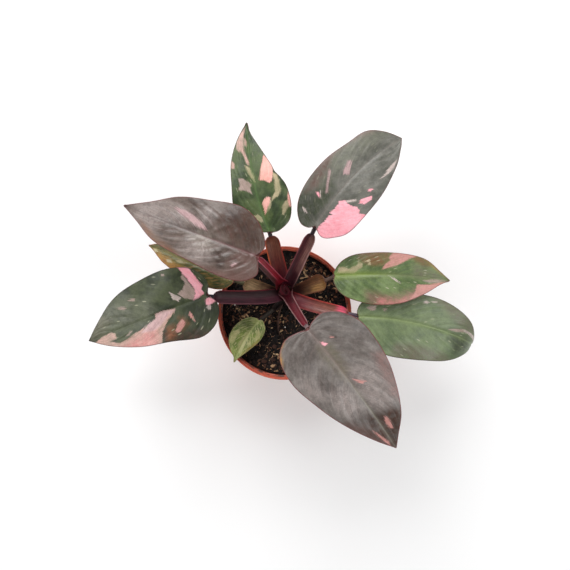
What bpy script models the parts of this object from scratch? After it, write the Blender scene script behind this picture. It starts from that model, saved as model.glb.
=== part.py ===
"""Pink princess philodendron with nine leaves, standing in its 12 cm nursery pot.

The model is in metres with +Z up. Its origin is the centre of the pot's flat underside, +X is the
right and +Y the far side for someone who looks down on it. Sizes are written in millimetres and
angles in degrees. Each leaf is a thin blade on its own stalk, and the lower part of a stalk is an
open sheath that clasps the stem.
"""
import math
from dataclasses import dataclass

import bmesh
import bpy
from mathutils import Matrix, Vector

MM = 0.001
GAP = 0.3
"""Clearance between touching pieces."""

# Pot
RIM_RADIUS = 60.0
POT_HEIGHT = 105.0
FOOT_RADIUS = 43.0
COLLAR_HEIGHT = 13.0
COLLAR_STEP = 2.0
POT_WALL = 1.4
POT_FLOOR = 2.0
RIM_THICKNESS = 3.0
POT_STEPS = 48
DRAIN_COUNT = 8
DRAIN_RADIUS = 3.5
DRAIN_CIRCLE = 33.0

# Potting mix
SOIL_TOP = 95.0
SOIL_RELIEF = 1.3
SOIL_RINGS = 7

# Stem
STEM_X = 0.0
STEM_Y = 15.5
STEM_LEAN = 11.0
STEM_RADIUS = 5.5
STEM_FOOT = -27.0
STEM_TOP = 41.0
BUD_TOP = 48.0
NODE_SCARS = (25.0, 12.0, 3.0)
NODE_SWELL = 0.5
STEM_STEPS = 16

# Leaves
BLADE_THICKNESS = 0.7
BLADE_ROWS = 15
BLADE_COLUMNS = 10
MIDRIB_STEPS = 60
STALK_RADIUS = 1.8
SHEATH_DEPTH = 4.4
SHEATH_WALL = 1.2
SHEATH_LIP = 0.5
STALK_ARC = 5
SHOULDER = 0.09

# Aerial root
ROOT_RADIUS = 0.9


@dataclass(frozen=True)
class Leaf:
    """One leaf. Its outline is given for each half as (along the midrib, out from it), in mm."""

    side: str
    base: tuple
    heading: float
    bend: float
    pitch: float
    droop: float
    length: float
    left: tuple
    right: tuple
    azimuth: float
    node_height: float
    clasp: float
    rise: float
    arrival: float
    sheath_end: float = 0.8
    sheath_width: float = 5.3
    hook: float = 0.0
    fold: float = 8.0
    curl: float = 16.0
    wave: float = 1.0
    wave_count: float = 2.5
    color: tuple = (0.10, 0.13, 0.05)
    stalk_color: tuple = (0.12, 0.02, 0.02)


LEAVES = (
    Leaf(
        side="left_back", base=(-21.9, 48.0, 200.0), heading=160, bend=-2, pitch=4, droop=-30, length=119,
        left=((-4, 7), (-5, 15), (5, 23), (23, 25), (50, 22), (80, 18), (101, 8)),
        right=((-4, 8), (0, 17), (10, 27), (26, 32), (50, 28), (74, 22), (95, 11)),
        azimuth=128, node_height=34, clasp=62, rise=74, arrival=34, sheath_end=0.88, sheath_width=4.2,
        color=(0.16, 0.12, 0.10), stalk_color=(0.25, 0.03, 0.04),
    ),
    Leaf(
        side="front", base=(18.5, -10.0, 192.0), heading=-50, bend=-7, pitch=2, droop=-30, length=128.5,
        left=((-3, 7), (-3, 18), (7, 30), (24, 37), (50, 36), (75, 30), (99, 21), (116, 8)),
        right=((-4, 9), (-5, 21), (5, 33), (28, 36), (56, 31), (86, 21), (109, 10)),
        azimuth=-74, node_height=35, clasp=70, rise=74, arrival=34, sheath_end=0.84, sheath_width=3.9, wave=1.6,
        color=(0.15, 0.13, 0.12), stalk_color=(0.20, 0.02, 0.02),
    ),
    Leaf(
        side="right_back", base=(25.2, 73.5, 164.0), heading=60, bend=-29, pitch=12, droop=-26, length=104,
        left=((-4, 5), (-3, 13), (8, 22), (24, 26), (46, 26), (66, 23), (82, 21), (94, 12)),
        right=((-5, 8), (-2, 16), (10, 26), (34, 29), (60, 27), (84, 18), (98, 7)),
        azimuth=62, node_height=25, clasp=42, rise=60, arrival=20, sheath_end=0.8,
        color=(0.09, 0.10, 0.07), stalk_color=(0.06, 0.015, 0.02),
    ),
    Leaf(
        side="back", base=(-12.3, 69.9, 150.0), heading=113, bend=-22, pitch=10, droop=-24, length=96,
        left=((3, 8), (13, 19), (27, 22), (44, 18), (62, 15), (80, 8)),
        right=((-2, 7), (3, 19), (16, 25), (32, 25), (52, 18), (70, 11), (86, 3)),
        azimuth=103, node_height=17, clasp=42, rise=60, arrival=20, sheath_end=0.84, sheath_width=6.8,
        color=(0.08, 0.15, 0.05), stalk_color=(0.16, 0.04, 0.03),
    ),
    Leaf(
        side="left", base=(-66.8, 16.8, 140.0), heading=202, bend=-2, pitch=-2, droop=-28, length=122,
        left=((-6, 8), (-5, 18), (4, 28), (19, 32), (44, 26), (72, 21), (100, 11)),
        right=((-5, 8), (-2, 19), (9, 29), (30, 34), (58, 31), (84, 24), (106, 10)),
        azimuth=196, node_height=12, clasp=48, rise=52, arrival=12, sheath_end=0.84, wave=1.8,
        color=(0.07, 0.10, 0.05), stalk_color=(0.05, 0.012, 0.015),
    ),
    Leaf(
        side="right_low", base=(63.7, -2.1, 130.0), heading=-1, bend=-28, pitch=2, droop=-26, length=125,
        left=((-1, 6), (5, 14), (28, 23), (56, 26), (80, 24), (101, 16), (115, 7)),
        right=((0, 8), (8, 21), (26, 31), (50, 32), (80, 27), (101, 18), (115, 8)),
        azimuth=-34, node_height=13, clasp=44, rise=52, arrival=14, sheath_end=0.78, sheath_width=5.8, hook=-70,
        color=(0.08, 0.17, 0.06), stalk_color=(0.16, 0.03, 0.03),
    ),
    Leaf(
        side="right", base=(43.0, 33.2, 133.0), heading=4, bend=-13, pitch=12, droop=-26, length=101,
        left=((0, 4), (8, 13), (22, 18), (52, 19), (75, 16), (90, 7)),
        right=((-1, 6), (4, 15), (14, 21), (34, 26), (58, 24), (78, 15), (92, 5)),
        azimuth=18, node_height=4, clasp=44, rise=54, arrival=30, sheath_end=0.7, sheath_width=6.2,
        color=(0.12, 0.22, 0.06), stalk_color=(0.16, 0.12, 0.06),
    ),
    Leaf(
        side="left_low", base=(-44.3, 29.0, 125.0), heading=158, bend=-1, pitch=4, droop=-20, length=83,
        left=((1, 5), (9, 12), (28, 15), (48, 13), (64, 9), (76, 3)),
        right=((3, 6), (12, 11), (33, 13), (56, 11), (74, 5)),
        azimuth=166, node_height=3, clasp=38, rise=50, arrival=22, sheath_end=0.7, sheath_width=5.8,
        color=(0.22, 0.20, 0.05), stalk_color=(0.16, 0.12, 0.06),
    ),
    Leaf(
        side="small", base=(-22.8, -5.9, 116.0), heading=-131, bend=21, pitch=2, droop=-20, length=45,
        left=((-2, 3), (3, 10), (14, 12), (28, 8), (38, 3)),
        right=((0, 3), (5, 10), (16, 14), (26, 13), (34, 8), (40, 2)),
        azimuth=-118, node_height=7, clasp=24, rise=46, arrival=18, sheath_end=0.4, sheath_width=3.0, fold=14,
        color=(0.14, 0.24, 0.07), stalk_color=(0.05, 0.03, 0.02),
    ),
)


def clear_scene() -> None:
    """Remove the objects of the start-up scene."""
    for item in list(bpy.data.objects):
        bpy.data.objects.remove(item, do_unlink=True)


def make_collection(name: str) -> bpy.types.Collection:
    """Add a collection to the scene."""
    collection = bpy.data.collections.new(name)
    bpy.context.scene.collection.children.link(collection)
    return collection


def make_material(name: str, color: tuple, roughness: float) -> bpy.types.Material:
    """A plain Principled material in linear colour."""
    material = bpy.data.materials.new(name)
    material.use_nodes = True
    shader = material.node_tree.nodes["Principled BSDF"]
    shader.inputs["Base Color"].default_value = (*color, 1.0)
    shader.inputs["Roughness"].default_value = roughness
    shader.inputs["Metallic"].default_value = 0.0
    return material


def add_object(name: str, data, collection, material=None) -> bpy.types.Object:
    """Put mesh or curve data in the scene as a named object."""
    item = bpy.data.objects.new(name, data)
    collection.objects.link(item)
    if material:
        data.materials.append(material)
    return item


def mesh_from(bm, name: str) -> bpy.types.Mesh:
    """Turn a bmesh into a smooth-shaded mesh and free it."""
    mesh = bpy.data.meshes.new(name)
    bm.to_mesh(mesh)
    bm.free()
    mesh.shade_smooth()
    return mesh


def turned(name: str, profile: list, steps: int, collection, material) -> bpy.types.Object:
    """A closed turned body from (radius, height) points that run down its outer side."""
    mesh = bpy.data.meshes.new(name)
    points = [(radius * MM, 0.0, height * MM) for radius, height in profile]
    edges = [(index, index + 1) for index in range(len(points) - 1)]
    mesh.from_pydata(points, edges, [])
    item = add_object(name, mesh, collection, material)
    screw = item.modifiers.new("Turn", "SCREW")
    screw.axis = "Z"
    screw.angle = math.tau
    screw.steps = steps
    screw.render_steps = steps
    screw.use_merge_vertices = True
    screw.merge_threshold = 0.00005
    return item


def cut(item, cutter) -> None:
    """Subtract a closed cutter from an object."""
    boolean = item.modifiers.new("Cut", "BOOLEAN")
    boolean.operation = "DIFFERENCE"
    boolean.solver = "EXACT"
    boolean.object = cutter


def as_guide(item) -> None:
    """Keep a cutter out of the model."""
    item.hide_render = True
    item.display_type = "WIRE"


def cylinder(name: str, radius: float, low: float, high: float, steps: int, collection):
    """A closed upright cylinder at the origin, in mm."""
    bm = bmesh.new()
    place = Matrix.Translation((0, 0, (low + high) / 2 * MM))
    bmesh.ops.create_cone(
        bm, cap_ends=True, segments=steps, radius1=radius * MM, radius2=radius * MM,
        depth=(high - low) * MM, matrix=place,
    )
    return add_object(name, mesh_from(bm, name), collection)


def applied(item, collection, material) -> bpy.types.Object:
    """Swap an object for one that holds its evaluated mesh."""
    bpy.context.view_layer.update()
    graph = bpy.context.evaluated_depsgraph_get()
    mesh = bpy.data.meshes.new_from_object(item.evaluated_get(graph))
    name = item.name
    bpy.data.objects.remove(item, do_unlink=True)
    mesh.materials.clear()
    return add_object(name, mesh, collection, material)


def pot_inner_radius(height: float) -> float:
    """Inner radius of the pot's tapered wall at a height."""
    collar_low = POT_HEIGHT - COLLAR_HEIGHT
    top_radius = RIM_RADIUS - COLLAR_STEP - POT_WALL
    foot = FOOT_RADIUS - POT_WALL
    return foot + (top_radius - foot) * min(height, collar_low) / collar_low


def build_pot(parts, cutters) -> None:
    """Tapered plastic pot with a thick collar, a rounded rim and drainage holes round its floor."""
    collar_low = POT_HEIGHT - COLLAR_HEIGHT
    body_top = RIM_RADIUS - COLLAR_STEP
    profile = [
        (0, POT_FLOOR),
        (pot_inner_radius(POT_FLOOR), POT_FLOOR),
        (pot_inner_radius(collar_low), collar_low),
        (RIM_RADIUS - RIM_THICKNESS - 0.8, POT_HEIGHT - 3.4),
        (RIM_RADIUS - RIM_THICKNESS, POT_HEIGHT - 3.0),
        (RIM_RADIUS - RIM_THICKNESS, POT_HEIGHT - 0.6),
        (RIM_RADIUS - RIM_THICKNESS + 0.6, POT_HEIGHT),
        (RIM_RADIUS - 0.9, POT_HEIGHT),
        (RIM_RADIUS, POT_HEIGHT - 0.9),
        (RIM_RADIUS - 0.4, collar_low + 0.6),
        (RIM_RADIUS - 1.0, collar_low),
        (body_top, collar_low - 0.4),
        (FOOT_RADIUS + 0.4, 1.0),
        (FOOT_RADIUS - 0.6, 0),
        (0, 0),
    ]
    plastic = make_material("terracotta_plastic", (0.47, 0.13, 0.085), 0.45)
    pot = turned("pot", profile, POT_STEPS, parts, plastic)
    for index in range(DRAIN_COUNT):
        hole = cylinder(f"drain_{index}", DRAIN_RADIUS, -2, POT_FLOOR + 2, 12, cutters)
        angle = math.tau * (index + 0.5) / DRAIN_COUNT
        hole.location = (DRAIN_CIRCLE * math.cos(angle) * MM, DRAIN_CIRCLE * math.sin(angle) * MM, 0)
        as_guide(hole)
        cut(pot, hole)


def soil_height(x: float, y: float) -> float:
    """Height of the potting mix at a place, in mm: low mounds that follow a formula."""
    mounds = math.sin(x / 11 + 0.7) * math.cos(y / 9 - 0.4)
    lumps = math.sin(x / 4.3 + y / 6.1) * math.cos(y / 5.2 - x / 7.7 + 1.3)
    return SOIL_TOP + SOIL_RELIEF * (0.65 * mounds + 0.35 * lumps)


def build_soil(parts, cutters) -> None:
    """Potting mix that fills the pot to 10 mm under the rim, with plain holes for stem and root."""
    low = POT_FLOOR + GAP
    widest = POT_HEIGHT - COLLAR_HEIGHT
    top_radius = pot_inner_radius(widest) - 2 * GAP
    profile = [(top_radius * ring / SOIL_RINGS, SOIL_TOP) for ring in range(SOIL_RINGS + 1)]
    profile += [(top_radius, widest), (pot_inner_radius(low) - 1.5 * GAP, low), (0, low)]
    mix = make_material("potting_mix", (0.035, 0.022, 0.015), 0.95)
    soil = applied(turned("soil", profile, POT_STEPS, parts, mix), parts, mix)
    for vertex in soil.data.vertices:
        if vertex.co.z > (SOIL_TOP - 1) * MM:
            vertex.co.z = soil_height(vertex.co.x / MM, vertex.co.y / MM) * MM
    stem_hole = cylinder("stem_hole", STEM_RADIUS + GAP, STEM_FOOT - GAP, 20, STEM_STEPS, cutters)
    lean_with_stem(stem_hole)
    root_hole = cylinder("root_hole", ROOT_RADIUS + 2 * GAP, SOIL_TOP - 12, SOIL_TOP + 9, 8, cutters)
    root_hole.location = (ROOT_END[0] * MM, ROOT_END[1] * MM, 0)
    for hole in (stem_hole, root_hole):
        as_guide(hole)
        cut(soil, hole)


def stem_centre(height: float) -> Vector:
    """Centre of the leaning stem at a height, in mm."""
    lean = math.tan(math.radians(STEM_LEAN)) * (height - SOIL_TOP)
    return Vector((STEM_X, STEM_Y + lean, height))


def lean_with_stem(item) -> None:
    """Tip an upright piece on the stem's axis, turned about the point where it meets the mix."""
    turn = Matrix.Rotation(math.radians(-STEM_LEAN), 4, "X")
    item.matrix_world = Matrix.Translation(stem_centre(SOIL_TOP) * MM) @ turn


def build_stem(parts) -> None:
    """Short upright stem, swollen where leaves grew, with the pointed bud of the next leaf on top."""
    profile = [(0, BUD_TOP), (1.2, BUD_TOP - 1.2), (2.6, STEM_TOP + 1.5), (3.8, STEM_TOP - 2.5)]
    ring = STEM_RADIUS - NODE_SWELL
    profile.append((ring, 31))
    for scar in NODE_SCARS:
        profile += [(ring, scar + 1.5), (STEM_RADIUS, scar), (ring, scar - 1.5)]
    profile += [(STEM_RADIUS, -4), (STEM_RADIUS, STEM_FOOT + 1), (STEM_RADIUS - 1, STEM_FOOT), (0, STEM_FOOT)]
    bark = make_material("stem_skin", (0.09, 0.05, 0.025), 0.6)
    stem = turned("stem", profile, STEM_STEPS, parts, bark)
    lean_with_stem(stem)


def direction(heading: float, pitch: float) -> Vector:
    """Unit vector for a heading and a slope in degrees."""
    turn = math.radians(heading)
    slope = math.radians(pitch)
    return Vector((math.cos(slope) * math.cos(turn), math.cos(slope) * math.sin(turn), math.sin(slope)))


class BladeForm:
    """The middle surface of a leaf blade, in mm."""

    def __init__(self, leaf: Leaf):
        self.leaf = leaf
        self.width = max(across for _, across in leaf.left + leaf.right)
        self.edges = {1: smooth_outline(leaf.left, leaf.length), -1: smooth_outline(leaf.right, leaf.length)}
        self.spine = [Vector(leaf.base)]
        step = leaf.length / MIDRIB_STEPS
        for index in range(MIDRIB_STEPS):
            self.spine.append(self.spine[-1] + self.tangent((index + 0.5) / MIDRIB_STEPS) * step)

    def tangent(self, share: float) -> Vector:
        """Direction of the midrib at a share of its length."""
        leaf = self.leaf
        slope = leaf.pitch + leaf.droop * share + leaf.hook * share ** 6
        return direction(leaf.heading + leaf.bend * share, slope)

    def point(self, along: float, across: float) -> Vector:
        """Point of the blade at a distance along the midrib and to its left, in mm."""
        leaf = self.leaf
        share = min(max(along / leaf.length, 0.0), 1.0)
        index = min(int(share * MIDRIB_STEPS), MIDRIB_STEPS - 1)
        centre = self.spine[index].lerp(self.spine[index + 1], share * MIDRIB_STEPS - index)
        forward = self.tangent(share)
        left = Vector((-forward.y, forward.x, 0)).normalized()
        up = forward.cross(left)
        reach = abs(across) / self.width
        lift = math.radians(leaf.fold - leaf.curl * reach / 2)
        ripple = leaf.wave * reach ** 2 * math.sin(math.tau * leaf.wave_count * share + math.copysign(1, across))
        centre += forward * (along - share * leaf.length)
        return centre + left * across * math.cos(lift) + up * (abs(across) * math.sin(lift) + ripple)

    def at(self, row: float, column: float) -> Vector:
        """Point at a share of the way from notch to tip (0 to 1) and from edge to edge (-1 to 1)."""
        edge_along, edge_across = on_outline(self.edges[1 if column >= 0 else -1], row)
        start = self.leaf.length * row ** 1.4
        reach = abs(column)
        along = start + (edge_along - start) * reach
        return self.point(along, math.copysign(edge_across * reach, column))


def smooth_outline(points: tuple, length: float) -> list:
    """A smooth edge through the given points, from the notch at the origin to the tip."""
    knots = [Vector((0, 0)), *(Vector(point) for point in points), Vector((length, 0))]
    knots = [knots[0] * 2 - knots[1], *knots, knots[-1] * 2 - knots[-2]]
    steps = 8
    edge = [knots[1]]
    for index in range(1, len(knots) - 2):
        before, start, end, after = knots[index - 1:index + 3]
        for step in range(1, steps + 1):
            t = step / steps
            bow = (end - before) * t + (2 * before - 5 * start + 4 * end - after) * t ** 2
            edge.append(start + (bow + (3 * start - before - 3 * end + after) * t ** 3) / 2)
    return edge


def on_outline(edge: list, share: float) -> tuple:
    """Place on an edge at a share of its whole length."""
    spans = [(b - a).length for a, b in zip(edge, edge[1:])]
    left_over = share * sum(spans)
    for index, span in enumerate(spans):
        if left_over <= span or index == len(spans) - 1:
            return tuple(edge[index].lerp(edge[index + 1], min(left_over / span, 1.0)))
        left_over -= span


def build_blade(leaf: Leaf, parts) -> None:
    """A thin blade with two unlike halves, a folded and drooping midrib and gently waved edges."""
    form = BladeForm(leaf)
    bm = bmesh.new()
    bmesh.ops.create_grid(bm, x_segments=BLADE_ROWS, y_segments=BLADE_COLUMNS, size=1.0)
    for vertex in bm.verts:
        vertex.co = form.at((vertex.co.x + 1) / 2, vertex.co.y) * MM
    bmesh.ops.remove_doubles(bm, verts=bm.verts, dist=0.02 * MM)
    bmesh.ops.triangulate(bm, faces=bm.faces, quad_method="SHORT_EDGE", ngon_method="BEAUTY")
    name = f"blade_{leaf.side}"
    skin = make_material(f"blade_{leaf.side}", leaf.color, 0.4)
    blade = add_object(name, mesh_from(bm, name), parts, skin)
    solidify = blade.modifiers.new("Thickness", "SOLIDIFY")
    solidify.thickness = BLADE_THICKNESS * MM
    solidify.offset = 0.0


def stalk_path(leaf: Leaf) -> tuple:
    """Four control points of the stalk's centre line, in mm, from the stem to under the blade."""
    form = BladeForm(leaf)
    forward = form.tangent(0)
    left = Vector((-forward.y, forward.x, 0)).normalized()
    end = form.point(3.0, 0) - forward.cross(left) * (BLADE_THICKNESS / 2 + GAP + STALK_RADIUS)
    clear = (STEM_RADIUS + GAP) * math.cos(math.radians(leaf.clasp))
    start = stem_centre(SOIL_TOP + leaf.node_height) + direction(leaf.azimuth, 0) * clear
    span = (end - start).length
    rising = start + direction(leaf.azimuth, leaf.rise) * span * 0.33
    bearing = math.degrees(math.atan2(end.y - rising.y, end.x - rising.x))
    arriving = end - direction(bearing, leaf.arrival) * span * 0.2
    return start, rising, arriving, end


def on_path(path: tuple, t: float) -> tuple:
    """Point and direction on the stalk's centre line."""
    a, b, c, d = path
    s = 1 - t
    point = a * s ** 3 + b * 3 * s * s * t + c * 3 * s * t * t + d * t ** 3
    forward = (b - a) * s * s + (c - b) * 2 * s * t + (d - c) * t * t
    return point, forward.normalized()


def ease(low: float, high: float, value: float) -> float:
    """Smooth step from 0 at low to 1 at high."""
    t = min(max((value - low) / (high - low), 0.0), 1.0)
    return t * t * (3 - 2 * t)


def stalk_section(leaf: Leaf, t: float) -> list:
    """Outline of the stalk at a share of its length: a crescent low down, round at the top."""
    opened = 1 - ease(leaf.sheath_end - SHOULDER, leaf.sheath_end, t)
    grip = 1 - ease(0.0, 0.2, t)
    reach = (STEM_RADIUS + GAP) * math.sin(math.radians(leaf.clasp)) + SHEATH_WALL
    hollow = (STEM_RADIUS + GAP) * (1 - math.cos(math.radians(leaf.clasp))) / math.sin(math.radians(leaf.rise))
    wide = leaf.sheath_width + (reach - leaf.sheath_width) * grip
    deep = SHEATH_DEPTH + (hollow + SHEATH_WALL - SHEATH_DEPTH) * grip
    half_width = STALK_RADIUS + (wide - STALK_RADIUS) * opened
    depth = STALK_RADIUS + (deep - STALK_RADIUS) * opened
    crown = STALK_RADIUS + (SHEATH_WALL - deep - STALK_RADIUS) * opened
    lip = SHEATH_LIP * opened
    turns = [math.pi * index / STALK_ARC for index in range(STALK_ARC + 1)]
    outer = [(half_width * math.cos(turn), -depth * math.sin(turn)) for turn in turns]
    inner = [((half_width - lip) * math.cos(turn), crown * math.sin(turn) + lip * 0.3) for turn in turns]
    return outer + inner[::-1]


def build_stalk(leaf: Leaf, parts) -> None:
    """A leaf stalk lofted from the crescent that clasps the stem to the round neck at the blade."""
    path = stalk_path(leaf)
    end = leaf.sheath_end
    stations = [(end - SHOULDER) * share for share in (0, 0.09, 0.2, 0.35, 0.55, 0.78)]
    stations += [end - SHOULDER * share for share in (1, 0.7, 0.4, 0.15, 0)]
    stations += [(end + 1) / 2, 1.0]
    bm = bmesh.new()
    rings = []
    for t in stations:
        point, forward = on_path(path, t)
        side = forward.cross(Vector((0, 0, 1))).normalized()
        up = side.cross(forward)
        rings.append([bm.verts.new((point + side * x + up * y) * MM) for x, y in stalk_section(leaf, t)])
    count = len(rings[0])
    for low, high in zip(rings, rings[1:]):
        for index in range(count):
            after = (index + 1) % count
            bm.faces.new((low[index], low[after], high[after], high[index]))
    for ring, flip in ((rings[0], True), (rings[-1], False)):
        for index in range(STALK_ARC):
            corners = [ring[index], ring[index + 1], ring[count - 2 - index], ring[count - 1 - index]]
            bm.faces.new(reversed(corners) if flip else corners)
    bmesh.ops.remove_doubles(bm, verts=bm.verts, dist=0.005 * MM)
    bmesh.ops.recalc_face_normals(bm, faces=bm.faces)
    name = f"petiole_{leaf.side}"
    skin = make_material(name, leaf.stalk_color, 0.4)
    add_object(name, mesh_from(bm, name), parts, skin)


ROOT_POINTS = (
    (-1.2, 9.9, 98.9), (-2.6, 7.0, 98.4), (-4.6, 2.0, 98.0), (-5.7, -4.0, 97.9), (-6.0, -10.0, 97.8),
    (-5.8, -15.0, 97.8), (-5.6, -17.0, 97.0), (-5.5, -17.8, 95.6), (-5.5, -18.0, 93.0), (-5.5, -18.0, 87.0),
)
ROOT_END = ROOT_POINTS[-1]


def build_root(parts) -> None:
    """A thin aerial root that arches from the stem and dips into the potting mix."""
    curve = bpy.data.curves.new("aerial_root", "CURVE")
    curve.dimensions = "3D"
    curve.bevel_depth = ROOT_RADIUS * MM
    curve.bevel_resolution = 1
    curve.use_fill_caps = True
    spline = curve.splines.new("POLY")
    spline.points.add(len(ROOT_POINTS) - 1)
    for place, point in zip(spline.points, ROOT_POINTS):
        place.co = (point[0] * MM, point[1] * MM, point[2] * MM, 1.0)
    add_object("aerial_root", curve, parts, make_material("aerial_root", (0.05, 0.03, 0.025), 0.7))


def main() -> None:
    """Build every piece of the plant and its pot."""
    clear_scene()
    parts = make_collection("pink_princess_philodendron")
    cutters = make_collection("cutters")
    build_pot(parts, cutters)
    build_soil(parts, cutters)
    build_stem(parts)
    build_root(parts)
    for leaf in LEAVES:
        build_stalk(leaf, parts)
        build_blade(leaf, parts)


main()
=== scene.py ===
"""Looks of a pink princess philodendron with nine leaves, in a 12 cm nursery pot.

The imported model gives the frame. Every blade, stalk, the stem, the root, the pot and its mix get a
finer piece of the same form, and crumbs, bark, fibres and white grains lie on the mix. Lengths are in
millimetres and angles in degrees, on the frame's axes: +X is the right and +Y the far side for
someone who looks down on the pot.
"""
import logging
import math
import random
from dataclasses import dataclass, field
from enum import Enum

import bmesh
import bpy
import numpy as np
from mathutils import Matrix, Vector, noise


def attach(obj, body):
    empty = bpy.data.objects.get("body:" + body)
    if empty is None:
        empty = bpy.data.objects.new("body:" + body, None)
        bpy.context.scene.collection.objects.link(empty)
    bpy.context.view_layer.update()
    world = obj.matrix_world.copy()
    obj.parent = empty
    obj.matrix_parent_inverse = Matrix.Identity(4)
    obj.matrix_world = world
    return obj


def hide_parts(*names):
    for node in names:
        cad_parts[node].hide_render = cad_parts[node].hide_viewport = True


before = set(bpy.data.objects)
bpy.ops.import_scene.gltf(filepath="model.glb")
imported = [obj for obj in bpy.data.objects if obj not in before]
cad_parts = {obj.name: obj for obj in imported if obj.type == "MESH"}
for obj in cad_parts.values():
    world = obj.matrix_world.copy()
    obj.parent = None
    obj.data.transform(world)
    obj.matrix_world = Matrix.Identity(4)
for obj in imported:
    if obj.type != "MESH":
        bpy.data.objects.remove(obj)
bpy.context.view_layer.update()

LOG = logging.getLogger("philodendron")
MM = 0.001
GAP = 0.3
"""Clearance in mm that the frame keeps between touching nodes, which these pieces close."""
TINY = 1e-6

Colour = tuple[float, float, float, float]
Outline = tuple[tuple[float, float], ...]
Place = tuple[float, float, float]
Pitch = tuple[float, float, float]


def tone(red: int, green: int, blue: int) -> Colour:
    """Linear colour from eight-bit display values.

    Args:
        red: red from 0 to 255.
        green: green from 0 to 255.
        blue: blue from 0 to 255.

    Returns:
        The linear colour, with full alpha.
    """
    channels = [value / 255 for value in (red, green, blue)]
    linear = [((c + 0.055) / 1.055) ** 2.4 if c > 0.04045 else c / 12.92 for c in channels]
    return (linear[0], linear[1], linear[2], 1.0)


class Signal:
    """A node's output that takes part in sums as a number does."""

    def __init__(self, board: "NodeBoard", socket: bpy.types.NodeSocket) -> None:
        """Wrap a socket of a board."""
        self.board = board
        self.socket = socket

    def _sum(self, operation: str, first: "Signal | float", second: "Signal | float" = 0.0) -> "Signal":
        """Add one Math node."""
        return self.board.node("ShaderNodeMath", {"operation": operation}, {0: first, 1: second})

    def __add__(self, other: "Signal | float") -> "Signal":
        """Sum."""
        return self._sum("ADD", self, other)

    def __radd__(self, other: float) -> "Signal":
        """Sum with a number on the left."""
        return self._sum("ADD", other, self)

    def __sub__(self, other: "Signal | float") -> "Signal":
        """Difference."""
        return self._sum("SUBTRACT", self, other)

    def __rsub__(self, other: float) -> "Signal":
        """Difference with a number on the left."""
        return self._sum("SUBTRACT", other, self)

    def __mul__(self, other: "Signal | float") -> "Signal":
        """Product."""
        return self._sum("MULTIPLY", self, other)

    def __rmul__(self, other: float) -> "Signal":
        """Product with a number on the left."""
        return self._sum("MULTIPLY", other, self)

    def __abs__(self) -> "Signal":
        """Size without its sign."""
        return self._sum("ABSOLUTE", self)

    def ramp(self, low: float, high: float) -> "Signal":
        """Smooth step from 0 at low to 1 at high, or down where low is the larger.

        Args:
            low: value at which the step is 0.
            high: value at which it is 1.

        Returns:
            The step.
        """
        settings = {"interpolation_type": "SMOOTHSTEP"}
        if low <= high:
            return self.board.node("ShaderNodeMapRange", settings, {0: self, 1: low, 2: high})
        return 1.0 - self.ramp(high, low)


class NodeBoard:
    """The node tree of one new material."""

    def __init__(self, name: str) -> None:
        """Start a material with an empty tree.

        Args:
            name: name of the material.
        """
        self.material = bpy.data.materials.new(name)
        self.material.use_nodes = True
        self.tree = self.material.node_tree
        self.tree.nodes.clear()

    def node(
        self, kind: str, settings: dict | None = None, inputs: dict | None = None, output: int = 0,
    ) -> Signal:
        """Add any node.

        Args:
            kind: Blender's name of the node type.
            settings: properties, which are set before the sockets.
            inputs: numbers, colours or signals by socket name or index.
            output: index of the output that is wanted.

        Returns:
            The wanted output.
        """
        node = self.tree.nodes.new(kind)
        for key, value in (settings or {}).items():
            setattr(node, key, value)
        for key, value in (inputs or {}).items():
            if isinstance(value, Signal):
                self.tree.links.new(value.socket, node.inputs[key])
            else:
                node.inputs[key].default_value = value
        return Signal(self, node.outputs[output])

    def attribute(self, name: str) -> Signal:
        """A number kept on the mesh's points."""
        return self.node("ShaderNodeAttribute", {"attribute_name": name}, output=2)

    def place(self) -> Signal:
        """Position in metres."""
        return self.node("ShaderNodeTexCoord", output=3)

    def vector(self, x: "Signal | float", y: "Signal | float", z: "Signal | float" = 0.0) -> Signal:
        """Three numbers as a vector."""
        return self.node("ShaderNodeCombineXYZ", inputs={0: x, 1: y, 2: z})

    def flow(self, pitch: Pitch) -> Signal:
        """Place on a blade, as a vector that grows along the side veins, outwards and from half to half."""
        keys = ("vein", "reach", "side")
        return self.vector(*(self.attribute(key) * rate for key, rate in zip(keys, pitch)))

    def noise(self, vector: Signal, scale: float, detail: float = 3.0, rough: float = 0.55) -> Signal:
        """Cloudy noise between about 0.2 and 0.8."""
        inputs = {"Vector": vector, "Scale": scale, "Detail": detail, "Roughness": rough}
        return self.node("ShaderNodeTexNoise", inputs=inputs)

    def cells(self, vector: Signal, scale: float, output: int = 0) -> Signal:
        """Voronoi cells: distance to the middle (output 0) or one colour each (output 1)."""
        return self.node("ShaderNodeTexVoronoi", inputs={"Vector": vector, "Scale": scale}, output=output)

    def mix(
        self, share: "Signal | float", ground: "Signal | Colour", top: "Signal | Colour", blend: str = "MIX",
    ) -> Signal:
        """Lay one colour over another."""
        settings = {"data_type": "RGBA", "blend_type": blend}
        return self.node("ShaderNodeMix", settings, {0: share, 6: ground, 7: top}, output=2)

    def bump(self, height: Signal, depth: float) -> Signal:
        """Normal of a surface whose height signal spans a depth in mm."""
        return self.node("ShaderNodeBump", inputs={"Height": height, "Distance": depth * MM})

    def surface(
        self, colour: Signal, roughness: "Signal | float", normal: Signal, **fixed: "Signal | float",
    ) -> bpy.types.Material:
        """Close the material with its shader.

        Args:
            colour: base colour.
            roughness: roughness signal or number.
            normal: bumped normal.
            fixed: other shader sockets, with underscores for spaces.

        Returns:
            The finished material.
        """
        inputs = {"Base Color": colour, "Roughness": roughness, "Normal": normal}
        inputs.update({key.replace("_", " "): value for key, value in fixed.items()})
        shader = self.node("ShaderNodeBsdfPrincipled", inputs=inputs)
        end = self.tree.nodes.new("ShaderNodeOutputMaterial")
        self.tree.links.new(shader.socket, end.inputs["Surface"])
        return self.material


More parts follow.
